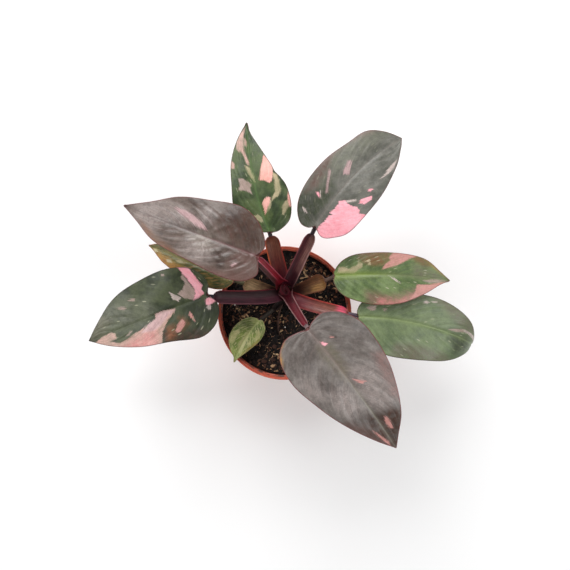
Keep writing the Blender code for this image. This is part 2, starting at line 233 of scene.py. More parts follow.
@dataclass(frozen=True)
class TissueLook:
    """Colours of one marking, painted sheen or painted shade, its fading edge's width in mm and how much it
    covers.
    """

    plain: Colour
    streak: Colour
    feather: float
    cover: float


class Tissue(Enum):
    """Kinds of marking, painted sheen, painted shade and glint on a blade, from the deepest layer to the top
    one.
    """

    # Deep green, partly the leaves' own colour and partly painted shade where a blade catches no sheen.
    MOSS = TissueLook(tone(40, 47, 32), tone(60, 67, 46), 5.0, 0.9)
    OLIVE = TissueLook(tone(118, 108, 92), tone(94, 90, 74), 4.0, 0.8)
    # Grey-green painted sheen.
    SAGE = TissueLook(tone(130, 130, 113), tone(106, 109, 90), 6.0, 0.5)
    # Dark brown painted shade, where a blade catches no sheen.
    UMBER = TissueLook(tone(54, 40, 34), tone(80, 58, 48), 5.0, 1.0)
    # Painted silvery sheen, laid where a blade would mirror the key light.
    SILVER = TissueLook(tone(184, 171, 166), tone(144, 132, 127), 7.0, 0.65)
    MAUVE = TissueLook(tone(150, 110, 104), tone(122, 90, 84), 4.0, 0.65)
    DUSK = TissueLook(tone(106, 80, 73), tone(86, 62, 56), 4.0, 0.85)
    RUST = TissueLook(tone(146, 88, 60), tone(104, 82, 58), 3.0, 0.8)
    GOLD = TissueLook(tone(184, 128, 54), tone(146, 116, 50), 2.2, 0.9)
    ASH = TissueLook(tone(178, 154, 146), tone(148, 130, 118), 0.5, 0.95)
    LIME = TissueLook(tone(204, 194, 144), tone(156, 158, 96), 0.5, 0.9)
    FAWN = TissueLook(tone(212, 168, 156), tone(168, 142, 128), 0.5, 0.95)
    CREAM = TissueLook(tone(200, 182, 148), tone(158, 150, 116), 0.5, 0.95)
    PEARL = TissueLook(tone(214, 196, 190), tone(176, 160, 152), 0.4, 0.9)
    BLUSH = TissueLook(tone(222, 140, 138), tone(184, 122, 118), 4.0, 0.8)
    LILAC = TissueLook(tone(202, 168, 168), tone(172, 138, 140), 1.0, 0.85)
    ROSE = TissueLook(tone(206, 146, 140), tone(178, 126, 116), 0.5, 0.95)
    PEACH = TissueLook(tone(242, 186, 174), tone(236, 164, 152), 0.4, 1.0)
    PINK = TissueLook(tone(248, 182, 192), tone(240, 150, 162), 0.4, 1.0)

    @property
    def label(self) -> str:
        """Name of the attribute that carries this marking."""
        return self.name.lower()


@dataclass(frozen=True)
class Patch:
    """One marking, or painted sheen, shade or glint: a closed outline of (along the midrib, out to its left)
    points in mm.
    """

    tissue: Tissue
    outline: Outline


STREAK_PITCH: Pitch = (60.0, 2.4, 7.0)
COMB_PITCH: Pitch = (150.0, 2.2, 5.0)
HAIR_PITCH: Pitch = (260.0, 5.0, 3.0)
# Pitch of the clouds of painted sheen.
SHEEN_PITCH: Pitch = (9.0, 2.6, 5.0)
VEIL_PITCH: Pitch = (26.0, 4.2, 9.0)
FLECK_PITCH: Pitch = (36.0, 9.0, 7.0)
UNDER_PITCH: Pitch = (60.0, 2.4, 0.0)
"""How fast each pattern changes along the side veins, outwards, and from half to half."""


@dataclass(frozen=True)
class BladeFinish:
    """Skin of a blade: ground tones, painted silvery sheen, cream marbling, midrib, margin and underside."""

    deep: Colour
    fresh: Colour
    rib: Colour
    margin: Colour = tone(96, 38, 40)
    under: Colour = tone(104, 66, 62)
    # How much painted silvery sheen the blade carries, and its tone.
    painted_sheen: float = 0.0
    painted_sheen_tone: Colour = tone(172, 160, 156)
    marble: float = 0.0
    marble_tone: Colour = tone(176, 168, 120)
    rib_tip: Colour | None = None
    rib_share: float = 0.6
    rib_glow: float = 0.25
    specks: float = 0.0
    mottle: float = 0.3
    gloss: float = 0.4
    fleck: Colour = tone(178, 176, 148)
    under_rib: Colour = tone(140, 84, 80)
    cloud_scale: float = 70.0
    blotch_scale: float = 230.0
    leather_scale: float = 340.0
    grain_scale: float = 900.0
    fleck_scale: float = 0.7
    relief: float = 0.22
    under_relief: float = 0.15
    shine: float = 0.4
    coat: float = 0.08
    coat_rough: float = 0.2

    def top(self, name: str, tissues: list[Tissue]) -> bpy.types.Material:
        """Material of the upper face.

        Args:
            name: name of the material.
            tissues: kinds of marking, painted sheen and painted shade that the blade carries.

        Returns:
            The material.
        """
        board = NodeBoard(name)
        streak = board.noise(board.flow(STREAK_PITCH), 1.0, 4.0)
        comb = board.noise(board.flow(COMB_PITCH), 1.0, 3.0)
        hair = board.noise(board.flow(HAIR_PITCH), 1.0, 2.0)
        cloud = board.noise(board.place(), self.cloud_scale, 5.0, 0.62)
        blotch = board.noise(board.place(), self.blotch_scale, 5.0, 0.66)
        grain = board.noise(board.place(), self.grain_scale, 3.0)
        colour = board.mix(cloud.ramp(0.38, 0.62), self.deep, self.fresh)
        # Painted silvery sheen, in clouds that follow the side veins.
        if self.painted_sheen:
            sheen_cloud = board.noise(board.flow(SHEEN_PITCH), 1.0, 6.0, 0.62)
            colour = board.mix(sheen_cloud.ramp(0.42, 0.66) * self.painted_sheen, colour, self.painted_sheen_tone)
        colour = board.mix(1.0, colour, 0.94 + 0.12 * streak.ramp(0.3, 0.7), "MULTIPLY")
        mottling = 1.0 + (blotch.ramp(0.32, 0.68) - 0.5) * self.mottle
        colour = board.mix(1.0, colour, mottling, "MULTIPLY")
        if self.marble:
            veil = board.noise(board.flow(VEIL_PITCH), 1.0, 7.0, 0.68)
            colour = board.mix(veil.ramp(0.5, 0.57) * self.marble, colour, self.marble_tone)
        ragged = (comb - 0.5) * 8.0 + (streak - 0.5) * 3.0 + (grain - 0.5) * 1.4
        tint = (hair * 0.4 + cloud * 0.3 + blotch * 0.3).ramp(0.4, 0.6)
        for tissue in tissues:
            colour = self._mark(board, colour, tissue, ragged, tint, blotch)
        if self.specks:
            colour = self._speckle(board, colour)
        colour = self._ribs(board, colour, streak)
        edge = board.attribute("margin")
        colour = board.mix(edge.ramp(0.9, 0.25) * 0.7, colour, self.margin)
        colour = board.mix(1.0, colour, 0.8 + 0.4 * grain, "MULTIPLY")
        leather = board.noise(board.place(), self.leather_scale, 4.0, 0.6)
        height = hair * 0.15 + grain * 0.35 + streak * 0.15 + blotch * 0.8 + leather
        roughness = self.gloss + (cloud - 0.5) * 0.3 + (grain - 0.5) * 0.16
        normal = board.bump(height, self.relief)
        return board.surface(
            colour, roughness, normal, Specular_IOR_Level=self.shine, Coat_Weight=self.coat,
            Coat_Roughness=self.coat_rough,
        )

    def _mark(
        self, board: NodeBoard, ground: Signal, tissue: Tissue, ragged: Signal, tint: Signal, blotch: Signal,
    ) -> Signal:
        """Lay one kind of marking, painted sheen or painted shade over the ground.

        Args:
            board: node tree of the blade.
            ground: colour so far.
            tissue: kind of marking, painted sheen or painted shade.
            ragged: distance in mm by which the edge strays.
            tint: where the marking shows its second tone.
            blotch: noise that breaks up a marking with a soft edge.

        Returns:
            The colour with the marking on it.
        """
        look = tissue.value
        inside = board.attribute(tissue.label)
        cover = (inside + ragged * (0.5 + 0.12 * look.feather)).ramp(-look.feather, look.feather)
        if look.feather > 2:
            cover = cover * (0.5 + 0.5 * blotch.ramp(0.4, 0.58))
        skin = board.mix(tint, look.plain, look.streak)
        return board.mix(cover * look.cover, ground, skin)

    def _speckle(self, board: NodeBoard, ground: Signal) -> Signal:
        """Scatter small pale flecks.

        Args:
            board: node tree of the blade.
            ground: colour so far.

        Returns:
            The colour with the flecks on it.
        """
        flow = board.flow(FLECK_PITCH)
        middle = board.cells(flow, self.fleck_scale)
        pick = board.cells(flow, self.fleck_scale, output=1)
        share = middle.ramp(0.24, 0.12) * pick.ramp(0.66, 0.72)
        return board.mix(share * self.specks, ground, self.fleck)

    def _ribs(self, board: NodeBoard, ground: Signal, streak: Signal) -> Signal:
        """Draw the midrib and the side veins.

        Args:
            board: node tree of the blade.
            ground: colour so far.
            streak: streaks that break up the midrib.

        Returns:
            The colour with the ribs on it.
        """
        across = abs(board.attribute("across"))
        row = board.attribute("row")
        rib = board.mix(row.ramp(0.3, 0.75), self.rib, self.rib_tip or self.rib)
        glow = (across + row * 3.0).ramp(6.0, 1.0) * self.rib_glow
        midrib = (across + row * 0.8).ramp(1.8, 0.4) * (streak.ramp(0.25, 0.65) * self.rib_share)
        ground = board.mix(board.attribute("vein_line") * 0.15, ground, self.rib)
        return board.mix(midrib, board.mix(glow, ground, rib), rib)

    def underside(self, name: str, tissues: list[Tissue]) -> bpy.types.Material:
        """Material of the lower face, where pale markings show dull.

        Args:
            name: name of the material.
            tissues: kinds of marking that the blade carries.

        Returns:
            The material.
        """
        board = NodeBoard(name)
        streak = board.noise(board.flow(UNDER_PITCH), 1.0, 4.0)
        cloud = board.noise(board.place(), 80.0, 4.0)
        grain = board.noise(board.place(), self.grain_scale, 3.0)
        colour = board.mix(cloud.ramp(0.35, 0.65), self.under, self.deep)
        ragged = (streak - 0.5) * 5.0 + (grain - 0.5) * 1.6
        for tissue in tissues:
            if tissue.value.feather < 1:
                colour = self._mark(board, colour, tissue, ragged, streak, cloud)
        colour = board.mix(0.35, colour, self.under)
        rib = abs(board.attribute("across")).ramp(1.8, 0.8)
        colour = board.mix(rib * 0.7, colour, self.under_rib)
        normal = board.bump(streak + grain * 0.6, self.under_relief)
        return board.surface(colour, 0.5 + (grain - 0.5) * 0.2, normal)


@dataclass(frozen=True)
class StalkFinish:
    """Skin of a stalk: back and hollow of its sheath, the sheath's two lips, and the round neck."""

    back: Colour
    hollow: Colour
    lip: Colour
    neck: Colour
    left_lip: Colour | None = None
    flank: Colour | None = None
    # Colour of a painted highlight line along the hollow.
    crease: Colour | None = None
    root: Colour | None = None
    root_end: float = 0.5
    tip: Colour | None = None
    rough: float = 0.42
    relief: float = 0.22
    shine: float = 0.35
    coat: float = 0.08
    coat_rough: float = 0.25

    def material(self, name: str) -> bpy.types.Material:
        """Material of the whole stalk.

        Args:
            name: name of the material.

        Returns:
            The material.
        """
        board = NodeBoard(name)
        share = board.attribute("share")
        beam = board.attribute("beam")
        opened = board.attribute("opened")
        strand = board.noise(board.vector(board.attribute("turn") * 50.0, share * 5.0), 1.0, 4.0)
        cloud = board.noise(board.place(), 160.0, 4.0)
        grain = board.noise(board.place(), 1100.0, 2.0)
        colour = board.mix(board.attribute("inner"), self.back, self.hollow)
        # Darker flank on one wing: partly the wing's own colour and partly painted shade where it faces the
        # mix.
        if self.flank:
            colour = board.mix((beam + (strand - 0.5)).ramp(0.3, -0.3) * 0.9, colour, self.flank)
        # Painted highlight line along the hollow of the sheath.
        if self.crease:
            line = abs(beam + 0.05 + (strand - 0.5) * 0.3).ramp(0.12, 0.04) * opened
            colour = board.mix(line * 0.8, colour, self.crease)
        # Darker red towards the stem: partly the stalk's own dark base and partly painted shade deep in the
        # crown.
        if self.root:
            low = (share + (cloud - 0.5) * 0.2).ramp(self.root_end, self.root_end * 0.3)
            colour = board.mix(low, colour, self.root)
        lips = board.mix(beam.ramp(-0.1, 0.1), self.left_lip or self.lip, self.lip)
        edge = (abs(beam) + (strand - 0.5) * 0.1).ramp(0.86, 0.97) * opened * share.ramp(-0.05, 0.35)
        colour = board.mix(edge * (0.7 + 0.3 * cloud), colour, lips)
        colour = board.mix(board.attribute("neck"), colour, self.neck)
        if self.tip:
            colour = board.mix(board.attribute("shoulder").ramp(0.3, 0.95), colour, self.tip)
        colour = board.mix(1.0, colour, 0.5 + strand.ramp(0.25, 0.75), "MULTIPLY")
        colour = board.mix(1.0, colour, 0.6 + 0.8 * cloud, "MULTIPLY")
        normal = board.bump(strand * 1.4 + grain * 0.4, self.relief)
        roughness = self.rough + (cloud - 0.5) * 0.3
        return board.surface(
            colour, roughness, normal, Specular_IOR_Level=self.shine, Coat_Weight=self.coat,
            Coat_Roughness=self.coat_rough,
        )


@dataclass(frozen=True)
class PlasticFinish:
    """Thin moulded pot plastic, scuffed on its rim and dusty low down."""

    plain: Colour = tone(210, 102, 76)
    dark: Colour = tone(184, 82, 60)
    worn: Colour = tone(228, 136, 108)
    dust: Colour = tone(70, 52, 42)
    rim_height: float = 104.4
    rim_blend: float = 0.4
    stain_height: float = 45.0

    def material(self, name: str) -> bpy.types.Material:
        """Material of the pot.

        Args:
            name: name of the material.

        Returns:
            The material.
        """
        board = NodeBoard(name)
        place = board.place()
        cloud = board.noise(place, 22.0, 5.0, 0.6)
        grain = board.noise(place, 1500.0, 2.0)
        scuff = board.noise(place, 260.0, 6.0, 0.7)
        height = board.node("ShaderNodeSeparateXYZ", inputs={0: place}, output=2)
        colour = board.mix(cloud.ramp(0.3, 0.7), self.dark, self.plain)
        on_rim = height.ramp((self.rim_height - self.rim_blend) * MM, self.rim_height * MM)
        colour = board.mix(on_rim * scuff.ramp(0.5, 0.62) * 0.5, colour, self.worn)
        splash = scuff.ramp(0.44, 0.58) * board.attribute("inside") * 0.85
        colour = board.mix(splash, colour, self.dust)
        stain = scuff.ramp(0.5, 0.7) * height.ramp(self.stain_height * MM, 0.0) * 0.5
        colour = board.mix(stain, colour, self.dust)
        roughness = 0.42 + (cloud - 0.5) * 0.2 + (grain - 0.5) * 0.16
        normal = board.bump(grain + scuff * 0.3, 0.05)
        return board.surface(colour, roughness, normal)


@dataclass(frozen=True)
class EarthFinish:
    """Peaty potting mix or crumbs of it."""

    deep: Colour = tone(16, 12, 10)
    mid: Colour = tone(34, 25, 21)
    light: Colour = tone(92, 68, 48)

    def material(self, name: str) -> bpy.types.Material:
        """Material of the mix.

        Args:
            name: name of the material.

        Returns:
            The material.
        """
        board = NodeBoard(name)
        place = board.place()
        lumps = board.noise(place, 260.0, 6.0, 0.65)
        grain = board.noise(place, 1400.0, 5.0, 0.7)
        colour = board.mix(lumps.ramp(0.4, 0.66), self.deep, self.mid)
        colour = board.mix(grain.ramp(0.6, 0.72) * 0.6, colour, self.light)
        normal = board.bump(lumps * 1.4 + grain, 0.5)
        return board.surface(colour, 0.9 - grain * 0.15, normal, Specular_IOR_Level=0.3)


@dataclass(frozen=True)
class BitFinish:
    """Small loose bits in three tones, where each bit keeps its own shade."""

    low: Colour
    middle: Colour
    high: Colour
    rough: float = 0.8

    def material(self, name: str) -> bpy.types.Material:
        """Material of the bits.

        Args:
            name: name of the material.

        Returns:
            The material.
        """
        board = NodeBoard(name)
        shade = board.attribute("shade")
        place = board.place()
        grain = board.noise(place, 1200.0, 4.0, 0.7)
        colour = board.mix(shade.ramp(0.0, 0.5), self.low, self.middle)
        colour = board.mix(shade.ramp(0.5, 1.0), colour, self.high)
        colour = board.mix(1.0, colour, 0.55 + 0.9 * grain, "MULTIPLY")
        return board.surface(colour, self.rough, board.bump(grain, 0.25))


@dataclass(frozen=True)
class BarkFinish:
    """Brown skin of the stem and of the aerial root, ringed across."""

    deep: Colour
    light: Colour
    rings: float

    def material(self, name: str) -> bpy.types.Material:
        """Material of the skin.

        Args:
            name: name of the material.

        Returns:
            The material.
        """
        board = NodeBoard(name)
        place = board.place()
        height = board.node("ShaderNodeSeparateXYZ", inputs={0: place}, output=2)
        cloud = board.noise(place, 300.0, 5.0, 0.65)
        ring = board.noise(board.vector(cloud * 0.4, cloud * 0.3, height * self.rings), 1.0, 4.0)
        colour = board.mix(cloud.ramp(0.35, 0.65), self.deep, self.light)
        colour = board.mix(1.0, colour, 0.6 + 0.8 * ring, "MULTIPLY")
        normal = board.bump(ring + cloud * 0.6, 0.3)
        return board.surface(colour, 0.66 + (cloud - 0.5) * 0.2, normal, Specular_IOR_Level=0.3)


@dataclass(frozen=True)
class Leaf:
    """One leaf: its blade's outline and bearing, its stalk, its skins, and its markings with painted sheen
    and shade.

    The midrib starts at base, turns by bend and sinks by droop along its length, and hook turns the
    last of it down. The stalk leaves the stem at azimuth, rises at first, and comes to the blade at
    arrival. Its sheath holds the stem over twice the clasp angle, and narrows outwards by taper.
    """

    side: str
    base: Place
    heading: float
    bend: float
    pitch: float
    droop: float
    length: float
    left: Outline
    right: Outline
    azimuth: float
    node_height: float
    clasp: float
    rise: float
    arrival: float
    blade: BladeFinish
    stalk: StalkFinish
    sheath_end: float = 0.8
    sheath_width: float = 5.3
    hook: float = 0.0
    fold: float = 8.0
    curl: float = 16.0
    wave: float = 1.0
    wave_count: float = 2.5
    taper: float = 0.14
    vein_pairs: float = 11.0
    sweep: float = 0.3
    puff: float = 0.3
    crinkle: float = 0.12
    pucker: float = 0.0
    patches: tuple[Patch, ...] = ()


MOSS, OLIVE, SAGE, UMBER = Tissue.MOSS, Tissue.OLIVE, Tissue.SAGE, Tissue.UMBER
SILVER, MAUVE, DUSK, RUST = Tissue.SILVER, Tissue.MAUVE, Tissue.DUSK, Tissue.RUST
GOLD, ASH, LIME, FAWN, CREAM = Tissue.GOLD, Tissue.ASH, Tissue.LIME, Tissue.FAWN, Tissue.CREAM
PEARL, BLUSH, LILAC, ROSE = Tissue.PEARL, Tissue.BLUSH, Tissue.LILAC, Tissue.ROSE
PEACH, PINK = Tissue.PEACH, Tissue.PINK

LEFT_BACK = Leaf(
    side="left_back", base=(-21.9, 48.0, 200.0), heading=160, bend=-2, pitch=4, droop=-30, length=119,
    left=((-4, 7), (-5, 15), (5, 23), (23, 25), (50, 22), (80, 18), (101, 8)),
    right=((-4, 8), (0, 17), (10, 27), (26, 32), (50, 28), (74, 22), (95, 11)),
    azimuth=128, node_height=34, clasp=62, rise=74, arrival=34, sheath_end=0.88, sheath_width=4.2,
    blade=BladeFinish(
        tone(66, 53, 47), tone(94, 80, 72), tone(118, 80, 82), margin=tone(104, 40, 42), painted_sheen=0.45,
        painted_sheen_tone=tone(136, 125, 119), rib_tip=tone(62, 46, 44), rib_share=0.6, rib_glow=0.06, gloss=0.34,
    ),
    stalk=StalkFinish(
        tone(80, 36, 42), tone(146, 20, 40), tone(196, 84, 104), tone(130, 44, 56),
        # The dark left lip and flank are painted shade on the sheath's wing that faces the mix; the crease is
        # a painted highlight line.
        left_lip=tone(66, 42, 42), flank=tone(48, 29, 28), crease=tone(206, 104, 120), root=tone(118, 14, 30),
        root_end=0.25,
    ),
    puff=0.4, crinkle=0.22, pucker=1.2,
    patches=(
        Patch(UMBER, ((35, -8), (40, -34), (26, -40), (0, -34), (-10, -14), (-2, -3), (12, -3), (24, -4))),
        Patch(SILVER, ((52, -8), (66, -14), (86, -18), (114, -4), (101, 9), (86, 12), (80, 1), (68, -3))),
        Patch(SILVER, ((58, 16), (42, 21), (33, 14), (35, 4), (44, 0), (54, 3))),
        Patch(SILVER, ((41, -11), (49, -11), (53, -19), (45, -21))),
        Patch(DUSK, ((-8, -3), (8, -2), (18, 4), (20, 16), (10, 28), (-10, 20))),
        Patch(MAUVE, ((51, 22), (33, 22), (11, 21), (-3, 14), (-6, 20), (13, 28), (31, 29), (54, 26))),
        Patch(RUST, ((98, 6), (80, 14), (64, 18), (52, 22), (66, 24), (84, 19))),
        # A painted olive glint near the middle of the blade.
        Patch(OLIVE, ((56, 4), (48, -3), (38, -2), (34, 8), (44, 12))),
        Patch(LILAC, ((74, -13), (66, -14), (56, -12), (48, -9), (43, -5), (50, -5), (60, -8), (68, -10))),
        Patch(LILAC, ((16, 14), (14, 11), (12, 11), (15, 15))),
    ),
)

FRONT = Leaf(
    side="front", base=(18.5, -10.0, 192.0), heading=-50, bend=-7, pitch=2, droop=-30, length=128,
    left=((-3, 7), (-3, 18), (7, 30), (24, 37), (50, 36), (75, 30), (99, 20), (116, 8)),
    right=((-4, 9), (-5, 21), (5, 33), (28, 37), (56, 32), (86, 22), (109, 11)),
    azimuth=-74, node_height=35, clasp=70, rise=74, arrival=34, sheath_end=0.84, sheath_width=3.9, wave=1.6,
    blade=BladeFinish(
        tone(88, 80, 76), tone(105, 98, 93), tone(136, 120, 114), margin=tone(120, 48, 52), painted_sheen=0.5,
        painted_sheen_tone=tone(138, 131, 127), rib_tip=tone(152, 148, 132), rib_share=0.55, rib_glow=0.22,
        mottle=0.36, gloss=0.36,
    ),
    stalk=StalkFinish(
        tone(80, 42, 46), tone(100, 20, 34), tone(158, 118, 118), tone(112, 90, 92), root=tone(62, 8, 20),
        root_end=0.6,
    ),
    taper=0.5, vein_pairs=10,
    patches=(
        Patch(OLIVE, ((14, -3), (20, 8), (46, 6), (50, -2), (34, -5), (23, -6))),
        Patch(UMBER, (
            (86, -8), (88, 4), (91, 14), (100, 24), (116, 16), (132, 0), (116, -10), (100, -14),
        )),
        Patch(MAUVE, ((46, 28), (50, 37), (77, 32), (92, 25), (82, 21), (64, 24))),
        Patch(DUSK, (
            (78, -22), (88, -14), (97, -10), (117, -4), (128, -1), (112, -14), (97, -22), (84, -28),
        )),
        Patch(UMBER, ((98, -8), (98, 4), (106, 14), (118, 10), (130, 0), (116, -8))),
        Patch(SILVER, ((52, -9), (60, -3), (78, -5), (78, -14), (68, -22), (52, -20))),
        Patch(SILVER, ((46, 6), (60, 2), (78, 2), (88, 8), (87, 20), (72, 27), (54, 25), (46, 14))),
        Patch(SILVER, ((26, -27), (36, -22), (50, -24), (46, -34), (30, -36))),
        Patch(GOLD, ((-1, -28), (-4, -22), (-7, -18), (-7, -30), (2, -37), (12, -37), (9, -33))),
        Patch(ROSE, ((14, 9), (15, 11), (17, 12), (16, 10))),
        Patch(ROSE, ((52, 3), (56, 7), (61, 11), (60, 7), (55, 4))),
        Patch(ROSE, ((94, 6), (97, 8), (103, 8), (108, 7), (107, 5), (101, 4))),
        Patch(ROSE, ((99, -8), (108, -5), (117, -2), (122, -3), (115, -5), (107, -7))),
        Patch(PINK, ((13, 1), (15, 3), (18, 5), (18, 2), (16, 1))),
    ),
)

RIGHT_BACK = Leaf(
    side="right_back", base=(25.2, 73.5, 164.0), heading=60, bend=-29, pitch=12, droop=-26, length=104,
    left=((-4, 5), (-3, 13), (8, 22), (24, 26), (46, 26), (66, 23), (82, 21), (94, 12)),
    right=((-5, 8), (-2, 16), (10, 26), (34, 29), (60, 27), (84, 18), (98, 7)),
    azimuth=62, node_height=25, clasp=42, rise=60, arrival=20, sheath_end=0.8,
    blade=BladeFinish(
        tone(88, 88, 80), tone(106, 105, 97), tone(134, 124, 116), margin=tone(92, 52, 48), painted_sheen=0.35,
        painted_sheen_tone=tone(130, 127, 121), rib_share=0.35, rib_glow=0.1, specks=0.2,
    ),
    stalk=StalkFinish(
        tone(62, 30, 36), tone(112, 74, 68), tone(160, 124, 118), tone(40, 24, 32),
        left_lip=tone(140, 72, 78), flank=tone(64, 14, 26), root=tone(54, 12, 24),
    ),
    puff=0.16,
    patches=(
        Patch(MOSS, ((-8, 4), (12, 1), (34, 2), (38, 12), (18, 20), (-8, 18))),
        Patch(MOSS, ((-6, 12), (18, 16), (26, 20), (16, 28), (-4, 24))),
        Patch(SAGE, ((26, 12), (50, 10), (80, 8), (98, 8), (88, 24), (50, 28), (26, 24))),
        Patch(DUSK, ((18, 22), (32, 25), (50, 25), (42, 19), (26, 17))),
        Patch(MAUVE, ((36, 23), (54, 24), (70, 22), (86, 18), (96, 14), (84, 28), (50, 32), (36, 30))),
        Patch(PEARL, ((89, -13), (82, -17), (75, -18), (66, -17), (73, -16), (77, -15), (81, -14))),
        Patch(PEARL, ((31, -8), (39, -15), (37, -15), (30, -10))),
        Patch(PEARL, ((26, 13), (21, 8), (22, 11))),
        Patch(PEARL, ((8, 17), (8, 14), (6, 11), (6, 14))),
        Patch(LILAC, ((57, 12), (59, 10), (54, 6), (50, 3), (47, 7), (49, 9), (53, 10))),
        Patch(LILAC, ((42, 18), (42, 16), (37, 13), (32, 10), (28, 7), (27, 8), (33, 12), (38, 15))),
        Patch(PINK, (
            (-2, -2), (3, -3), (8, -4), (14, -5), (16, -7), (16, -4), (21, -6), (28, -5), (32, -8),
            (31, -12), (32, -16), (34, -19), (33, -23), (30, -23), (32, -26), (36, -33), (22, -34),
            (5, -30), (-8, -20), (-8, -7),
        )),
        Patch(PINK, ((37, -18), (42, -18), (50, -22), (48, -24), (43, -23), (40, -22))),
        Patch(PINK, ((51, -17), (53, -17), (56, -19), (52, -19))),
        Patch(PINK, ((23, 15), (24, 13), (23, 11), (21, 10), (22, 13))),
    ),
)

BACK = Leaf(
    side="back", base=(-12.3, 69.9, 150.0), heading=113, bend=-22, pitch=10, droop=-24, length=96,
    left=((3, 8), (13, 19), (27, 22), (44, 19), (62, 16), (80, 9)),
    right=((-2, 7), (3, 19), (16, 25), (32, 26), (42, 23), (49, 19), (56, 17), (70, 11), (86, 3)),
    azimuth=103, node_height=17, clasp=42, rise=60, arrival=20, sheath_end=0.84, sheath_width=6.8,
    blade=BladeFinish(
        tone(48, 62, 36), tone(78, 92, 54), tone(88, 118, 62), margin=tone(66, 52, 40), specks=0.6,
        rib_share=0.5,
    ),
    stalk=StalkFinish(
        tone(120, 50, 38), tone(100, 56, 40), tone(148, 50, 40), tone(46, 28, 34), left_lip=tone(178, 84, 48),
        root=tone(84, 22, 30), root_end=0.7,
    ),
    sweep=0.4,
    patches=(
        Patch(ASH, (
            (49, 12), (48, 8), (45, 5), (42, 2), (40, 4), (34, 4), (37, 7), (39, 10), (40, 14), (43, 12),
        )),
        Patch(CREAM, (
            (49, -16), (46, -20), (40, -21), (32, -20), (27, -17), (24, -10), (28, -12), (31, -15),
            (41, -17),
        )),
        Patch(CREAM, ((26, -9), (24, -10), (19, -7), (16, -3), (20, -6))),
        Patch(CREAM, ((21, -24), (20, -20), (17, -17), (10, -15), (9, -16), (12, -19), (16, -23))),
        Patch(CREAM, ((17, 8), (17, 4), (13, 2), (10, 2), (10, 4), (13, 6))),
        Patch(CREAM, ((59, 5), (56, 1), (49, -1), (43, -1), (47, 1), (52, 3))),
        Patch(FAWN, ((82, 3), (76, 3), (74, 1), (79, 1))),
        Patch(FAWN, (
            (92, 1), (85, 6), (79, 9), (73, 10), (70, 8), (72, 7), (65, 4), (60, 3), (57, 1), (62, 1),
            (71, 4), (84, 3),
        )),
        Patch(FAWN, ((64, 15), (61, 13), (57, 14), (58, 17), (62, 17))),
        Patch(PEACH, (
            (65, -12), (59, -17), (53, -18), (48, -17), (41, -15), (40, -12), (43, -9), (44, -5), (54, -8),
            (59, -10),
        )),
        Patch(PEACH, ((29, -8), (27, -10), (23, -8), (20, -5), (14, -1), (19, -2), (24, -2), (27, -4))),
        Patch(PEACH, ((28, -26), (20, -28), (14, -27), (14, -23), (19, -23), (24, -24))),
    ),
)

LEFT = Leaf(
    side="left", base=(-66.8, 16.8, 140.0), heading=202, bend=-2, pitch=-2, droop=-28, length=122,
    left=((-6, 8), (-5, 18), (4, 28), (19, 32), (44, 26), (72, 21), (100, 11)),
    right=((-5, 8), (-2, 19), (9, 29), (30, 34), (58, 32), (84, 25), (106, 11)),
    azimuth=196, node_height=12, clasp=48, rise=52, arrival=12, sheath_end=0.84, sheath_width=6.2, wave=1.8,
    blade=BladeFinish(
        tone(42, 50, 30), tone(72, 79, 52), tone(60, 70, 44), margin=tone(48, 36, 34), specks=0.6,
        rib_glow=0.05, rib_share=0.3,
    ),
    stalk=StalkFinish(
        tone(60, 32, 40), tone(58, 34, 38), tone(130, 40, 48), tone(36, 28, 36),
        left_lip=tone(124, 76, 84), flank=tone(70, 30, 42), rough=0.5,
    ),
    patches=(
        Patch(UMBER, ((46, 15), (32, 22), (16, 25), (9, 31), (19, 34), (34, 30), (50, 25))),
        Patch(MOSS, ((-2, 10), (14, 4), (34, 6), (48, 12), (50, 26), (20, 30), (-4, 26))),
        # Painted grey-green sheen at the tip.
        Patch(OLIVE, ((126, 0), (112, -12), (98, -18), (90, -10), (106, 1))),
        Patch(SAGE, (
            (124, 0), (110, -14), (90, -26), (68, -26), (50, -16), (46, -4), (58, 5), (84, 1), (106, 0),
        )),
        Patch(RUST, ((42, 12), (34, 13), (36, 22), (40, 26), (46, 24), (44, 19))),
        Patch(RUST, ((30, 8), (24, 10), (22, 18), (30, 20))),
        Patch(ASH, (
            (12, 0), (19, -5), (22, -10), (17, -12), (13, -16), (15, -22), (12, -24), (9, -12), (6, -6),
        )),
        Patch(PEARL, ((29, -15), (26, -11), (21, -6), (24, -4), (28, -7), (28, -10))),
        Patch(ASH, ((80, -18), (74, -17), (70, -15), (73, -14), (78, -16))),
        Patch(ASH, ((67, -21), (60, -20), (61, -18), (66, -20))),
        Patch(ASH, ((30, -31), (27, -30), (27, -28), (30, -29))),
        Patch(ASH, ((82, 8), (75, 5), (73, 6), (78, 8))),
        # A painted pale glint on the lobe beside the stalk.
        Patch(PEARL, ((4, 10), (1, 8), (-1, 11), (2, 13))),
        Patch(FAWN, (
            (29, 1), (33, 5), (38, 7), (42, 11), (47, 16), (51, 25), (62, 27), (75, 24), (91, 18),
            (104, 11), (116, 4), (105, 1), (95, 0), (91, 2), (91, 7), (98, 7), (89, 12), (80, 11), (71, 8),
            (61, 7), (49, 3), (48, -1), (40, -1),
        )),
        Patch(ROSE, ((27, 11), (25, 15), (28, 18), (33, 21), (36, 20), (33, 15))),
        Patch(ROSE, ((18, 8), (17, 12), (17, 18), (19, 14), (20, 11))),
        Patch(PINK, (
            (15, -34), (8, -33), (4, -22), (2, -15), (0, -9), (2, -6), (1, -2), (7, 0), (12, 0), (9, -4),
            (7, -8), (9, -15), (11, -22),
        )),
        Patch(PINK, ((2, 3), (-3, 3), (-6, 8), (0, 9), (3, 8))),
        Patch(BLUSH, ((52, 10), (52, 18), (56, 28), (66, 28), (84, 22), (90, 15), (74, 13), (60, 10))),
        Patch(LILAC, (
            (30, 2), (38, 5), (46, 10), (54, 12), (66, 10), (60, 6), (49, 3), (47, -1), (40, -1),
        )),
        Patch(BLUSH, ((60, 22), (58, 28), (72, 28), (78, 24), (70, 22))),
    ),
)

